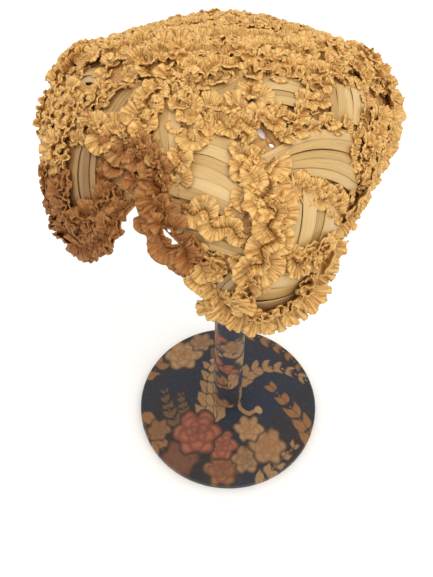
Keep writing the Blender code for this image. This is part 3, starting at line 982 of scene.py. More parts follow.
@dataclass
class RuffleMaker:
    """Makes gathered flounces along a seam."""

    form: HatForm
    rib: float = 1.68 * MM
    across: int = 7
    lift: float = 0.7 * MM
    rib_depth: float = 0.34 * MM
    thickness: float = 0.4 * MM
    dent: float = 3.2 * MM
    dent_depth: float = 1.5 * MM
    winding: float = 2.4 * MM
    wind_length: float = 11 * MM
    gap_room: float = 4.5 * MM
    gap_margin: float = 1.5 * MM
    taper: float = 7 * MM
    end_share: float = 0.3
    fold_pace: Unevenness = Unevenness(0.4, 14)
    fold_size: Unevenness = Unevenness(0.6, 9)
    braid_width: Unevenness = Unevenness(0.18, 8)
    sway: float = 12
    lean_at_seam: float = 0.72
    lean_gain: float = 0.43
    lean_when_pinched: float = 0.25
    curl: float = -0.1
    trial_step: float = 0.4 * MM
    least_stretch: float = 0.45
    bead_size: tuple[float, float] = (0.4, 1.6)
    # Painted shade: in the crease by the seam, on the hat's shadow side, at most, and the width of its fade
    # in degrees
    seam_shade: float = 0.3
    shadow_side_shade: float = 0.85
    most_shade: float = 0.95
    shade_blend: float = 9

    def build(self, name: str, plans: Sequence[np.ndarray], width: float, gather: Gather,
              seed: int) -> bpy.types.Object:
        """Make the flounces of one ruffle, or of several short ones, as one piece.

        Args:
            name: the piece's name.
            plans: the seams in the flat plan.
            width: the braid's width from seam to free edge.
            gather: how its flounces lie.
            seed: seed of its random draws.

        Returns:
            The finished object.
        """
        calm = 0.5 if gather is Gather.EDGE else 1.0
        points, faces = [], []
        attributes = {key: [] for key in ("rib", "fold", "tone", "shade")}
        count = 0
        for number, plan in enumerate(plans):
            seam = Seam(self.form, plan, self.winding * calm, self.wind_length, self.lift, seed + 5 * number)
            for index, flounce in enumerate(gather.value):
                grid, values = self.lay(seam, width, flounce, seed + 5 * number + 3 * index)
                made = grid_faces(*grid.shape[:2], first=count)
                faces += flipped(made) if flounce.side > 0 else made
                points.append(grid.reshape(-1, 3))
                for key in attributes:
                    attributes[key].append(values[key].ravel())
                count += points[-1].shape[0]
        joined = {key: np.concatenate(value) for key, value in attributes.items()}
        item = make_piece(name, np.vstack(points), faces, joined)
        add_wall(item, self.thickness, 0)
        return item

    def sweep(self, seam: Seam, width: float, flounce: Flounce, seed: int, stations: np.ndarray,
              edge_length: np.ndarray) -> tuple[np.ndarray, np.ndarray]:
        """Place the flounce's points for given stations.

        Args:
            seam: the seam.
            width: the braid's width.
            flounce: how it lies.
            seed: seed of its random draws.
            stations: distances along the seam.
            edge_length: the length of the free edge up to each station, which the folds follow.

        Returns:
            The points, row by row from the seam out, and the fold wave at each station.
        """
        place, ahead, left, normal, wind = seam.at(stations)
        sideways = left * flounce.side
        open_share = 0.5 + 0.5 * flounce.side * wind
        fold = flounce.fold_mm * MM
        total = edge_length[-1]
        phase = wave_phase(edge_length, self.fold_pace.along(total, seed, edge_length), fold, seed)
        wave = np.sin(phase) * self.fold_size.along(total, seed + 1, edge_length)
        drift = math.radians(self.sway) * smooth_noise(seam.length, 14 * MM, seed + 5, stations)
        reach = np.linspace(0, 1, self.across)[:, None]
        # On the inside of each bend the flounce stands more upright and is narrower
        pinched = flounce.pinch * (1 - open_share)
        lean = math.radians(flounce.spread) * (1 - self.lean_when_pinched * pinched)
        angles = (lean[None, :] * (self.lean_at_seam + self.lean_gain * reach) + drift[None, :]
                  + math.radians(flounce.fold_angle) * reach**0.8 * wave[None, :])
        ends = eased(np.clip(np.minimum(stations, seam.length - stations) / self.taper, 0, 1))
        ends = self.end_share + (1 - self.end_share) * ends
        wide = width * flounce.width_share * (1 - pinched) * ends
        wide = wide * self.braid_width.along(seam.length, seed + 2, stations)
        wide = wide * fullness(self.form, *seam.spots(stations))
        for spots in gap_places(self.form):
            facing = np.einsum("ij,ij->i", spots[0] - place, sideways) > 0
            for gap in spots:
                beside = np.einsum("ij,ij->i", gap - place, sideways)
                past = np.abs(np.einsum("ij,ij->i", gap - place, ahead))
                near = facing & (past < self.gap_room) & (beside > 0)
                room = np.maximum(beside - self.gap_margin, self.gap_margin)
                wide = np.where(near, np.minimum(wide, room), wide)
        piece = (wide / (self.across - 1))[None, :]
        still = np.zeros((1, len(stations)))
        out = np.vstack([still, np.cumsum(np.sin(angles[:-1]) * piece, axis=0)])
        up = np.vstack([still, np.cumsum(np.cos(angles[:-1]) * piece, axis=0)])
        curl = self.curl * fold * np.sin(2 * phase)
        grid = (place[None] + out[..., None] * sideways[None] + up[..., None] * normal[None]
                + (reach**1.3 * curl[None, :])[..., None] * ahead[None])
        return grid, wave

    def lay(self, seam: Seam, width: float, flounce: Flounce, seed: int) -> tuple[np.ndarray, dict]:
        """Work out one flounce, with its crimps evenly spaced along its free edge.

        Args:
            seam: the seam.
            width: the braid's width.
            flounce: how it lies.
            seed: seed of its random draws.

        Returns:
            Its points, row by row from the seam out, and the values of its attributes.
        """
        coarse = np.arange(0, seam.length, self.trial_step)
        plain = flounce._replace(fold_angle=0.0)
        grid, _ = self.sweep(seam, width, plain, seed, coarse, coarse)
        edge = np.linalg.norm(np.diff(grid[-2], axis=0), axis=1)
        least = self.least_stretch * np.diff(coarse)
        edge_length = np.concatenate([[0], np.cumsum(np.maximum(edge, least))])
        count = 2 * round(edge_length[-1] / self.rib)
        stations = np.interp(np.linspace(0, edge_length[-1], count + 1), edge_length, coarse)
        along = np.interp(stations, coarse, edge_length)
        grid, wave = self.sweep(seam, width, flounce, seed, stations, along)
        crest = (np.arange(count + 1) % 2).astype(float)
        bead = np.random.default_rng(seed + 6).uniform(*self.bead_size, (self.across, count // 2 + 1))
        bead = np.repeat(bead, 2, axis=1)[:, : count + 1]
        reach = np.linspace(0, 1, self.across)[:, None]
        face = unit(np.cross(np.gradient(grid, axis=1), np.gradient(grid, axis=0)))
        strength = self.rib_depth * (1.05 - 0.35 * reach)
        rib = 0.5 + (crest[None, :] - 0.5) * bead
        dent = self.dent_depth * reach * crumple(along, reach[:, 0] * width, self.dent, seed + 7)
        grid = grid + ((rib - 0.5) * 2 * strength + dent)[..., None] * face
        tone = 0.5 + 0.5 * smooth_noise(along[-1], 5 * MM, seed + 4, along)
        # The rib and fold values carry painted light and shade: crests lighter than grooves, the seam side
        # darker than the free edge
        values = {
            "rib": rib,
            "fold": np.clip(0.45 + 0.45 * reach - 0.2 * wave[None, :], 0, 1),
            "tone": tone[None, :] + 0 * rib,
            "shade": self.shade_share(seam, stations, reach),
        }
        return grid, values

    def shade_share(self, seam: Seam, stations: np.ndarray, reach: np.ndarray) -> np.ndarray:
        """How much painted shade darkens the straw: a little in the crease by the seam, and deeply on the
        hat's shadow side.

        Args:
            seam: the ruffle's seam.
            stations: distances along it.
            reach: how far out from the seam each row is, 0 to 1.

        Returns:
            A share for each point, row by row.
        """
        azimuth, drop = (np.degrees(value) for value in seam.spots(stations))
        rows = np.array(SHADOW_SIDE)
        first = np.interp(azimuth, rows[:, 0], rows[:, 1], period=360)
        # Painted shade on the hat's shadow side, faded in over the shade blend
        deep = np.clip((drop - first) / self.shade_blend + 0.5, 0, 1)
        # Painted shade in the crease by the seam, fading out towards the free edge
        by_seam = self.seam_shade * (1 - reach) ** 1.5
        return np.clip(by_seam + self.shadow_side_shade * deep[None, :], 0, self.most_shade)


class Patch(NamedTuple):
    """A patch of flat parallel straws; they run from the first corner to the second."""

    name: str
    straws: int
    corners: tuple
    # How much painted shade darkens the patch on the hat's shadow side
    painted_shade: float = 0.0


# The last column, where given, is the painted shade of patches on the hat's shadow side
PATCHES = (
    Patch("straw_panel_front", 6, ((-101, 26), (-78, 30), (-86, 58), (-107, 50))),
    Patch("straw_panel_right", 5, ((-68, 35), (-17, 54), (-35, 75), (-71, 43))),
    Patch("straw_panel_right_fan", 5, ((-65, 48), (-72, 73), (-54, 91), (-44, 79))),
    Patch("straw_panel_forehead", 5, ((-79, 81), (-62, 90), (-64, 105), (-80, 107))),
    Patch("straw_panel_notch", 3, ((-104, 60), (-83, 67), (-86, 74), (-100, 70)), 0.1),
    Patch("straw_panel_crown_left", 4, ((-141, 30), (-119, 38), (-115, 31), (-126, 17))),
    Patch("straw_panel_crown", 3, ((-124, 16), (-8, 7), (-42, 12), (-106, 16))),
    Patch("straw_panel_crown_right", 4, ((-12, 12), (-2, 26), (-28, 32), (-50, 20))),
    Patch("straw_panel_far_right", 5, ((-4, 36), (-22, 46), (-7, 57), (7, 48))),
    Patch("straw_panel_back_left", 4, ((163, 50), (164, 40), (176, 38), (171, 48)), 0.3),
    Patch("straw_panel_left", 5, ((-162, 40), (-180, 28), (-166, 24), (-151, 36)), 0.3),
    Patch("straw_panel_side_lobe", 5, ((-158, 56), (-146, 81), (-136, 72), (-150, 48)), 0.75),
    Patch("straw_tip", 3, ((-84, 76), (-91, 91), (-87, 96), (-82, 84)), 0.6),
)


@dataclass
class StrawPatches:
    """Lays the flat straws, each swept along its own line by Geometry Nodes."""

    form: HatForm
    points: int = 14
    sides: int = 12
    lift: float = 1.0 * MM
    layer: float = 0.5 * MM
    bulge: float = 1.2 * MM
    sag: float = 0.25 * MM
    least_width: float = 0.8 * MM
    overlap: tuple[float, float] = (1.06, 1.2)
    overhang: float = 0.14
    thickness_share: float = 0.10
    tree: bpy.types.NodeTree | None = None

    def straw_tree(self, finish: bpy.types.Material) -> bpy.types.NodeTree:
        """Build the tree that sweeps a flattened straw along each line.

        Args:
            finish: the straws' material.

        Returns:
            The tree, with the number of a straw's sides and its thickness share as its inputs.
        """
        tree = bpy.data.node_groups.new("flat_straws", "GeometryNodeTree")
        tree.interface.new_socket("Geometry", in_out="INPUT", socket_type="NodeSocketGeometry")
        sides = tree.interface.new_socket("Sides", in_out="INPUT", socket_type="NodeSocketInt")
        sides.default_value = self.sides
        share = tree.interface.new_socket("Thickness Share", in_out="INPUT", socket_type="NodeSocketFloat")
        share.default_value = self.thickness_share
        tree.interface.new_socket("Geometry", in_out="OUTPUT", socket_type="NodeSocketGeometry")
        node = partial(add_node, tree)
        given = node("NodeGroupInput").outputs
        lie = node("GeometryNodeInputNamedAttribute", {"Name": "lie"}, data_type="FLOAT_VECTOR")
        half = node("GeometryNodeInputNamedAttribute", {"Name": "half_width"}, data_type="FLOAT")
        curve = node("GeometryNodeMeshToCurve", {"Mesh": given["Geometry"]})
        links = {"Curve": curve.outputs["Curve"], "Normal": lie.outputs["Attribute"]}
        laid = node("GeometryNodeSetCurveNormal", links, mode="FREE")
        length = node("GeometryNodeSplineParameter").outputs["Length"]
        links = {"Geometry": laid.outputs["Curve"], "Name": "along", "Value": length}
        measured = node("GeometryNodeStoreNamedAttribute", links, data_type="FLOAT", domain="POINT")
        ring = node("GeometryNodeCurvePrimitiveCircle", {"Resolution": given["Sides"], "Radius": 1.0})
        flat = node("ShaderNodeCombineXYZ", {"X": given["Thickness Share"], "Y": 1.0, "Z": 1.0})
        links = {"Geometry": ring.outputs["Curve"], "Scale": flat.outputs["Vector"]}
        lens = node("GeometryNodeTransform", links)
        where = node("GeometryNodeInputPosition").outputs["Position"]
        split = node("ShaderNodeSeparateXYZ", {"Vector": where})
        links = {"Geometry": lens.outputs["Geometry"], "Name": "across", "Value": split.outputs["Y"]}
        profile = node("GeometryNodeStoreNamedAttribute", links, data_type="FLOAT", domain="POINT")
        links = {"Curve": measured.outputs["Geometry"], "Profile Curve": profile.outputs["Geometry"],
                 "Scale": half.outputs["Attribute"], "Fill Caps": True}
        swept = node("GeometryNodeCurveToMesh", links)
        real = node("GeometryNodeRealizeInstances", {"Geometry": swept.outputs["Mesh"]})
        dressed = node("GeometryNodeSetMaterial", {"Geometry": real.outputs["Geometry"], "Material": finish})
        node("NodeGroupOutput", {"Geometry": dressed.outputs["Geometry"]})
        return tree

    def lines(self, patch: Patch, seed: int) -> tuple[np.ndarray, dict[str, np.ndarray]]:
        """Work out the straws' middle lines.

        Args:
            patch: the patch.
            seed: seed of its random draws.

        Returns:
            Points of shape (straws, points, 3), and the values of their attributes.
        """
        draw = np.random.default_rng(seed)
        corners = np.array([to_plan(*corner) for corner in patch.corners])
        start, end, end_below, start_below = corners
        spots = self.form.lifted(corners, 0.0)
        near, far = np.linalg.norm(spots[0] - spots[3]), np.linalg.norm(spots[1] - spots[2])
        along = np.linspace(-self.overhang, 1 + self.overhang, self.points)[:, None]
        lines, widths, lies, tones = [], [], [], []
        for straw in range(patch.straws):
            share = (straw + 0.5) / patch.straws
            first = start + (start_below - start) * share
            last = end + (end_below - end) * share
            plan = first + (last - first) * along
            sag = self.sag * draw.uniform(-1, 1)
            bow = np.sin(math.pi * np.clip(along[:, 0], 0, 1))
            layer = self.layer * (straw % 2 + 0.4 * draw.uniform(0, 1))
            lift = self.lift + layer + (self.bulge + sag) * bow
            lines.append(self.form.lifted(plan, lift))
            width = (near + (far - near) * along[:, 0]) / patch.straws
            widths.append(np.maximum(width, self.least_width) * 0.5 * draw.uniform(*self.overlap))
            lies.append(self.form.normal(*from_plan(plan)))
            tones.append(np.full(self.points, draw.uniform(0, 1)))
        # Painted shade, even over the whole patch
        shade = np.full((patch.straws, self.points), patch.painted_shade)
        values = {"half_width": widths, "lie": lies, "tone": tones, "shade": shade}
        return np.array(lines), {key: np.array(value) for key, value in values.items()}

    def build(self, patch: Patch, finish: bpy.types.Material, seed: int) -> bpy.types.Object:
        """Make one patch as one piece.

        Args:
            patch: the patch.
            finish: the straws' material.
            seed: seed of its random draws.

        Returns:
            The finished object.
        """
        lines, values = self.lines(patch, seed)
        mesh = bpy.data.meshes.new(patch.name)
        edges = [(k, k + 1) for k in range(patch.straws * self.points - 1) if (k + 1) % self.points]
        mesh.from_pydata(lines.reshape(-1, 3).tolist(), edges, [])
        for key, value in values.items():
            kind, column = ("FLOAT_VECTOR", "vector") if value.ndim == 3 else ("FLOAT", "value")
            mesh.attributes.new(key, kind, "POINT").data.foreach_set(column, value.astype(np.float32).ravel())
        item = bpy.data.objects.new(patch.name + "_straws", mesh)
        bpy.context.scene.collection.objects.link(item)
        if self.tree is None:
            self.tree = self.straw_tree(finish)
        sweep = item.modifiers.new("straws", "NODES")
        sweep.node_group = self.tree
        sockets = {s.name: s.identifier for s in self.tree.interface.items_tree if s.in_out == "INPUT"}
        sweep[sockets["Sides"]] = self.sides
        sweep[sockets["Thickness Share"]] = self.thickness_share
        apply_modifiers(item)
        item.data.shade_smooth()
        return item


@dataclass
class Tufts:
    """Short gathered tufts that fill the places between the rows, as on the real hat."""

    form: HatForm
    grid_step: float = 1.5
    reach: float = 5.4 * MM
    edge_room: float = 5.0
    half_length: float = 6.0 * MM
    mean_radius: float = 95 * MM
    seam_points: int = 9
    widest_drop: float = 118.0
    bare_round_gap: float = 5 * MM
    tuftless_round_gap: float = 8 * MM
    fewest_covered: int = 3
    most: int = 195
    in_a_piece: int = 30
    width: float = 8.5 * MM

    def inside_patches(self, plan: np.ndarray) -> np.ndarray:
        """Which plan points lie on a patch of flat straws."""
        inside = np.zeros(plan.shape[:-1], bool)
        for patch in PATCHES:
            corners = np.array([to_plan(*corner) for corner in patch.corners])
            sides = np.roll(corners, -1, axis=0) - corners
            offsets = plan[..., None, :] - corners
            turn = sides[:, 0] * offsets[..., 1] - sides[:, 1] * offsets[..., 0]
            inside |= np.all(turn > 0, axis=-1) | np.all(turn < 0, axis=-1)
        return inside

    def seams(self, rows: Sequence[np.ndarray]) -> list[np.ndarray]:
        """Choose the tufts' seams: each one goes where it covers most of what is still bare.

        Args:
            rows: the plan paths of all ruffles.

        Returns:
            A plan path for each tuft.
        """
        side = np.radians(np.arange(-self.widest_drop, self.widest_drop + 0.1, self.grid_step))
        plan = np.stack(np.meshgrid(side, side, indexing="ij"), axis=-1).reshape(-1, 2)
        azimuth, drop = from_plan(plan)
        edge = self.form.edge_drop(azimuth)
        plan = plan[(drop < edge - math.radians(self.edge_room)) & (drop > self.form.step)]
        plan = plan[~self.inside_patches(plan)]
        spots = self.form.lifted(plan, 0.0)
        stations = [even_steps(self.form, row, 2 * MM)[0] for row in rows]
        along = np.vstack([self.form.lifted(row, 0.0) for row in stations])
        heading = np.vstack([np.gradient(row, axis=0) for row in stations])
        near = np.array([np.linalg.norm(along - spot, axis=1) for spot in spots])
        heading = unit(heading[near.argmin(axis=1)])
        bare = near.min(axis=1) > self.reach
        gaps = gap_places(self.form).reshape(-1, 3)
        clear = np.min([np.linalg.norm(spots - gap, axis=1) for gap in gaps], axis=0)
        bare &= clear > self.bare_round_gap
        close = np.array([np.linalg.norm(spots[bare] - spot, axis=1) < self.reach for spot in spots])
        close[clear < self.tuftless_round_gap] = False
        chosen = []
        left = np.ones(int(bare.sum()), bool)
        while len(chosen) < self.most:
            gain = (close & left).sum(axis=1)
            best = int(gain.argmax())
            if gain[best] < self.fewest_covered:
                break
            left &= ~close[best]
            half = heading[best] * self.half_length / self.mean_radius
            chosen.append(np.linspace(plan[best] - half, plan[best] + half, self.seam_points))
        LOG.info("%d tufts, %d bare spots left", len(chosen), int(left.sum()))
        return chosen


class Frond(NamedTuple):
    """A curving stem with pointed leaves on both sides, on flat cloth, in millimetres."""

    bends: tuple
    leaf: float
    leaves: int
    slant: float
    ink: str


class Bloom(NamedTuple):
    """A full flower on flat cloth, in millimetres."""

    x: float
    y: float
    size: float
    light: str
    dark: str


TAN, GOLD, BRONZE = "#94704C", "#A07E57", "#664A32"
ROSE, ROSE_DARK, OCHRE = "#965841", "#66382B", "#855B37"

FRONDS = (
    Frond(((10, 12), (22, 36), (48, 42), (80, 16)), 15, 7, 0.8, TAN),
    Frond(((-15, -24), (-17, -4), (-14, 12), (-16, 30)), 22, 4, 0.85, TAN),
    Frond(((-15, -22), (-15, 0), (-16, 20), (-14, 36)), 14, 5, 0.35, GOLD),
    Frond(((76, -42), (68, -24), (58, -10), (42, 8)), 18, 4, 0.7, OCHRE),
    Frond(((-46, -26), (-52, -14), (-56, -6), (-58, 6)), 11, 4, 0.9, BRONZE),
    Frond(((-34, -22), (-40, -14), (-42, -6), (-43, 2)), 9, 4, 0.9, BRONZE),
    Frond(((26, -80), (36, -68), (44, -60), (56, -46)), 13, 4, 0.8, TAN),
    Frond(((20, 76), (40, 64), (54, 56), (66, 38)), 14, 4, 0.8, OCHRE),
    Frond(((-78, -14), (-72, -34), (-60, -46), (-44, -64)), 19, 4, 0.8, OCHRE),
    Frond(((-12, 42), (-6, 54), (0, 62), (6, 74)), 14, 4, 0.8, BRONZE),
    Frond(((-78, 26), (-66, 36), (-56, 44), (-50, 56)), 15, 3, 0.8, OCHRE),
)

BLOOMS = (
    Bloom(-42, 48, 20, GOLD, OCHRE),
    Bloom(-25, 62, 13, TAN, BRONZE),
    Bloom(-62, -30, 12, OCHRE, BRONZE),
    Bloom(-42, -56, 18, ROSE_DARK, BRONZE),
    Bloom(-6, -66, 17, OCHRE, ROSE_DARK),
    Bloom(15, -58, 14, TAN, BRONZE),
    Bloom(34, -46, 18, TAN, OCHRE),
    Bloom(18, -31, 14, GOLD, OCHRE),
    Bloom(-6, -46, 15, ROSE, ROSE_DARK),
    Bloom(-28, -34, 23, ROSE, ROSE_DARK),
)


@dataclass
class PrintMotifs:
    """Paints a traditional flower and leaf print on flat cloth, in millimetres."""

    ground: str = "#232835"
    warm_ground: str = "#2C231C"
    scroll: tuple = ((9, 12), (4, -8), (14, -24), (27, -13))

    def paint(self, x: np.ndarray, y: np.ndarray) -> np.ndarray:
        """Give the print's colour at each place of the cloth.

        Args:
            x: places across, mm.
            y: places up, mm.

        Returns:
            Linear RGBA, one row for each place.
        """
        colour = np.tile(np.array(linear(self.ground)), (x.size, 1))
        drift = np.sin(0.045 * x + 1.1) + np.cos(0.05 * y - 0.6) + 0.4 * np.sin(0.17 * x - 0.13 * y)
        self.lay(colour, 0.35 - 0.4 * drift, self.warm_ground)
        # The motifs' edges waver by up to a millimetre, as if drawn by hand
        wobble = 0.8 * np.sin(0.55 * x + 1.3 * np.sin(0.31 * y))
        wobble += 0.8 * np.cos(0.47 * y + 1.1 * np.sin(0.37 * x))
        u, v = x + 0.6 * wobble, y - 0.5 * wobble
        for frond in FRONDS:
            self.frond(colour, u, v, frond)
        for place in self.bend(self.scroll, 25):
            self.lay(colour, (2.2 - np.hypot(u - place[0], v - place[1])) / 0.8, TAN)
        self.lay(colour, (3.6 - np.hypot(u - self.scroll[-1][0], v - self.scroll[-1][1])) / 0.8, GOLD)
        for bloom in BLOOMS:
            self.blossom(colour, u - bloom.x, v - bloom.y, bloom)
        return colour

    @staticmethod
    def bend(corners: tuple, count: int) -> np.ndarray:
        """Points along a Bezier curve.

        Args:
            corners: its four corners.
            count: how many points.

        Returns:
            The points.
        """
        t = np.linspace(0, 1, count)[:, None]
        a, b, c, d = (np.array(corner, float) for corner in corners)
        return (1 - t) ** 3 * a + 3 * (1 - t) ** 2 * t * b + 3 * (1 - t) * t**2 * c + t**3 * d

    @staticmethod
    def lay(colour: np.ndarray, mask: np.ndarray, hex_colour: str) -> None:
        """Lay an ink over the cloth.

        Args:
            colour: the cloth's colours, changed in place.
            mask: how much ink each place takes; it is cut off at 0 and 1.
            hex_colour: the ink.
        """
        share = np.clip(mask, 0, 1)[:, None]
        colour[:] = colour * (1 - share) + np.array(linear(hex_colour)) * share

    def blossom(self, colour: np.ndarray, x: np.ndarray, y: np.ndarray, bloom: Bloom) -> None:
        """Paint a full flower: rings of round petals, each ring turned from the last.

        Args:
            colour: the cloth's colours, changed in place.
            x: places across from the flower's middle, mm.
            y: places up from it, mm.
            bloom: the flower.
        """
        turn = np.arctan2(y, x)
        far = np.hypot(x, y)
        for ring, (share, petals) in enumerate(((1.0, 6), (0.76, 5), (0.5, 5), (0.28, 3))):
            scallop = np.abs(np.cos(petals / 2 * turn + ring * 0.9))
            edge = bloom.size * share * (0.78 + 0.22 * scallop)
            rim = self.warm_ground if ring == 0 else bloom.dark
            self.lay(colour, (edge + 0.7 - far) / 1.4 * (1.0 if ring == 0 else 0.6), rim)
            self.lay(colour, (edge - 0.4 - far) / (0.2 * bloom.size) * (0.3 + 0.7 * scallop), bloom.light)
        self.lay(colour, (bloom.size * 0.12 - far) / 1.5, bloom.dark)

    def frond(self, colour: np.ndarray, x: np.ndarray, y: np.ndarray, frond: Frond) -> None:
        """Paint a stem and its leaves.

        Args:
            colour: the cloth's colours, changed in place.
            x: places across, mm.
            y: places up, mm.
            frond: the stem.
        """
        path = self.bend(frond.bends, 4 * frond.leaves + 1)
        heading = unit(np.gradient(path, axis=0))
        for k, (place, way) in enumerate(zip(path, heading)):
            self.lay(colour, (1.1 - np.hypot(x - place[0], y - place[1])) / 0.6, frond.ink)
            if k % 4 == 0:
                size = frond.leaf * (1.05 - 0.5 * k / len(path))
                for side in (-1, 1):
                    self.leaf(colour, x - place[0], y - place[1], way, side * frond.slant, size, frond.ink)

    def leaf(self, colour: np.ndarray, x: np.ndarray, y: np.ndarray, way: np.ndarray, slant: float,
             size: float, ink: str) -> None:
        """Paint a pointed leaf that leaves its stem at a slant and bends back along it.

        Args:
            colour: the cloth's colours, changed in place.
            x: places across from the leaf's foot, mm.
            y: places up from it, mm.
            way: the stem's direction.
            slant: the leaf's angle from the stem, radians.
            size: its length, mm.
            ink: its colour.
        """
        along = x * way[0] + y * way[1]
        across = y * way[0] - x * way[1]
        along, across = (along * math.cos(slant) + across * math.sin(slant),
                         across * math.cos(slant) - along * math.sin(slant))
        share = np.clip(along / size, 0, 1)
        across = across + math.copysign(0.22 * size, slant) * share**2
        half = size * 0.29 * np.sin(math.pi * share**0.7)
        inside = np.where((along > 0) & (along < size), (half - np.abs(across)) / 0.7, -1)
        self.lay(colour, inside + 0.9, self.warm_ground)
        self.lay(colour, inside / 1.5, ink)
        self.lay(colour, np.where(inside > 0.3, (0.5 - np.abs(across)) / 0.5, -1) * 0.35, self.warm_ground)


@dataclass
class HatStand:
    """The stand: a cloth-covered foot, a stem wound with cloth and a plain padded top."""

    foot_radius: float = 80 * MM
    foot_edge_height: float = 9 * MM
    foot_crown: float = 17 * MM
    edge_round: float = 3.5 * MM
    hub: float = 0.4 * MM
    foot_rings: int = 84
    edge_rings: int = 8
    underside_rings: int = 12
    foot_around: int = 360
    stem_radius: float = 12 * MM
    stem_rows: int = 320
    stem_around: int = 60
    strip: float = 26 * MM
    cloth: float = 0.55 * MM
    lap_width: float = 0.12
    lap_shadow: float = 0.07
    crease: float = 0.12 * MM
    motifs: PrintMotifs = field(default_factory=PrintMotifs)

    def foot(self) -> bpy.types.Object:
        """Make the foot as a turned form, fine enough to carry its print."""
        rim = self.foot_radius
        inner = rim - self.edge_round
        top = np.linspace(self.hub, inner, self.foot_rings)
        crown = self.foot_edge_height + (self.foot_crown - self.foot_edge_height) * (1 - (top / inner) ** 2)
        turn = np.linspace(0, math.pi / 2, self.edge_rings + 1)[1:]
        below = self.foot_edge_height - self.edge_round
        under = np.linspace(rim - 2 * MM, self.hub, self.underside_rings)
        # The lower edge is broken by a millimetre
        radii = np.concatenate([top, inner + self.edge_round * np.sin(turn), [rim, rim - 1 * MM], under])
        heights = np.concatenate([crown, below + self.edge_round * np.cos(turn), [0.8 * MM, 0.0], 0 * under])
        angle = np.linspace(0, 2 * math.pi, self.foot_around, endpoint=False)
        points = turned(radii[:, None], angle, heights[:, None])
        faces = flipped(tube_faces(len(radii), self.foot_around))
        colour = self.motifs.paint(points[:, 0] / MM, points[:, 1] / MM)
        return make_piece("stand_foot", points, faces, {"print": colour})

    def stem(self) -> bpy.types.Object:
        """Make the stem with its wound strip: every turn laps over the one below it."""
        low, high = (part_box("stand_stem")[k][2] for k in (0, 1))
        rows = np.linspace(low, high, self.stem_rows)
        angle = np.linspace(0, 2 * math.pi, self.stem_around, endpoint=False)
        z, a = np.meshgrid(rows, angle, indexing="ij")
        wound = (z - low) / self.strip + a / (2 * math.pi)
        turns, lap = np.floor(wound), wound % 1.0
        thick = self.cloth * np.clip(lap / self.lap_width, 0, 1) * (1 - 0.35 * lap)
        crease = self.crease * np.sin(9 * a + 140 * z) * lap
        points = turned(self.stem_radius - 0.5 * MM + thick + crease, a, z)
        # Every turn shows another part of the print's middle, 78 mm wide and 86 mm high
        x = (a * self.stem_radius / MM + 11 * turns).ravel() % 78 - 12
        y = (z / MM + 37 * turns).ravel() % 86 - 64
        shadow = np.clip(1 - lap.ravel() / self.lap_shadow, 0, 1)[:, None]
        colour = self.motifs.paint(x, y) * (1 - 0.6 * shadow)
        faces = tube_faces(len(rows), self.stem_around)
        return make_piece("stand_stem_cloth", points, faces, {"print": colour})


@dataclass
class Studio:
    """The floor, the lights and the camera at the photograph's angle."""

    focal_px: float = 700.0
    picture_long_side_px: float = 577.0
    sensor_mm: float = 36.0
    pitch_down: float = 52.92
    place: tuple[float, float, float] = (-0.0106, -0.3050, 0.5827)
    aim: tuple[float, float, float] = (0.0, 0.0, 0.28)
    sky: float = 1.05

    def camera(self) -> None:
        """Set the camera: level across, looking down along +Y."""
        data = bpy.data.cameras.new("photo_camera")
        data.sensor_width = self.sensor_mm
        data.lens = self.focal_px * self.sensor_mm / self.picture_long_side_px
        item = bpy.data.objects.new("photo_camera", data)
        item.location = self.place
        item.rotation_euler = (math.radians(90 - self.pitch_down), 0, 0)
        bpy.context.scene.collection.objects.link(item)
        bpy.context.scene.camera = item

    def floor(self) -> None:
        """Lay the pale floor."""
        bpy.ops.mesh.primitive_plane_add(size=8)
        item = bpy.context.object
        item.name = "floor"
        made = bpy.data.materials.new("pale_paper")
        made.use_nodes = True
        shader = made.node_tree.nodes["Principled BSDF"]
        shader.inputs["Base Color"].default_value = linear("#FBFAF8")
        shader.inputs["Roughness"].default_value = 0.9
        item.data.materials.append(made)

    def light(self, name: str, place: tuple, power: float, size: float, colour: str) -> None:
        """Add one soft light aimed at the hat.

        Args:
            name: the light's name.
            place: where it hangs.
            power: its power, W.
            size: its width.
            colour: its sRGB colour.
        """
        data = bpy.data.lights.new(name, "AREA")
        data.energy = power
        data.size = size
        data.color = linear(colour)[:3]
        item = bpy.data.objects.new(name, data)
        item.location = place
        beam = Vector(self.aim) - Vector(place)
        item.rotation_euler = beam.to_track_quat("-Z", "Y").to_euler()
        bpy.context.scene.collection.objects.link(item)

    def build(self) -> None:
        """Set up the whole studio."""
        self.camera()
        self.floor()
        self.light("key", (0.4, -0.5, 1.35), power=3.8, size=0.8, colour="#FFF4E4")
        self.light("top", (0.0, 0.1, 1.6), power=3.6, size=1.4, colour="#FFFFFF")
        world = bpy.data.worlds.new("studio")
        world.use_nodes = True
        sky = world.node_tree.nodes["Background"]
        sky.inputs["Color"].default_value = linear("#FFFFFF")
        sky.inputs["Strength"].default_value = self.sky
        bpy.context.scene.world = world
        bpy.context.scene.view_settings.view_transform = "Standard"


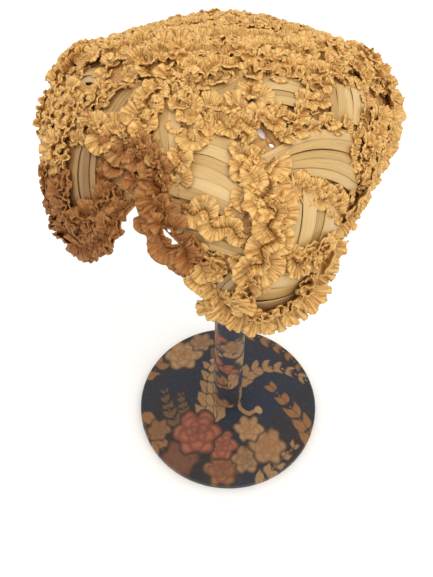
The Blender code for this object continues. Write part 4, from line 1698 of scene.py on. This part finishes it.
def edge_path(form: HatForm, ruffle: EdgeRuffle, inset: float = 3.0) -> np.ndarray:
    """The seam of an edge ruffle, going round with growing azimuth.

    Args:
        form: the hat's form.
        ruffle: the length of ruffle.
        inset: how far in from the edge it is sewn, degrees.

    Returns:
        The seam's path in the flat plan.
    """
    azimuth = np.arange(ruffle.first, ruffle.last + 0.01, 0.5)
    return to_plan(azimuth, np.degrees(form.edge_drop(np.radians(azimuth))) - inset)


def main() -> None:
    """Build every sub-assembly in order."""
    logging.basicConfig(level=logging.INFO, format="%(message)s")
    form = HatForm()
    Studio().build()

    cotton = PrintedCotton().material()
    stand = HatStand()
    dress(stand.foot(), cotton, "printed_cloth", "stand_base")
    dress(stand.stem(), cotton, "wrapped_cloth", "stand_stem")
    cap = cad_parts["stand_cap"]
    cap.data.materials.clear()
    cap.data.materials.append(PlainCotton().material())

    dress(Shell(form).build(), PlaitedStraw().material(), "plaited_straw", "straw_base")
    straw = FlatStraw().material()
    patches = StrawPatches(form)
    for index, patch in enumerate(PATCHES):
        dress(patches.build(patch, straw, PATCH_SEED + index), straw, "flat_straw", *solids_of(patch.name))

    braid = RuffledStraw().material()
    maker = RuffleMaker(form)
    rows = [smooth_path(np.array([to_plan(*point) for point in row.way_points])) for row in RUFFLES]
    edges = [edge_path(form, edge) for edge in EDGE_RUFFLES]
    for first_seed, table, paths in ((ROW_SEED, RUFFLES, rows), (EDGE_SEED, EDGE_RUFFLES, edges)):
        for index, (row, path) in enumerate(zip(table, paths)):
            gather = row.gather if table is RUFFLES else Gather.EDGE
            seed = first_seed + ROW_SEED_STEP * index
            item = maker.build(row.name, [path], row.width_mm * MM, gather, seed)
            dress(item, braid, "ruffled_straw", *solids_of(row.name))
    filling = Tufts(form)
    tufts = filling.seams(rows + edges)
    for k in range(0, len(tufts), filling.in_a_piece):
        name = f"ruffle_tufts_{k // filling.in_a_piece + 1}"
        some = tufts[k : k + filling.in_a_piece]
        dress(maker.build(name, some, filling.width, Gather.NARROW, TUFT_SEED + k), braid, "ruffled_straw")


if __name__ == "__main__":
    main()
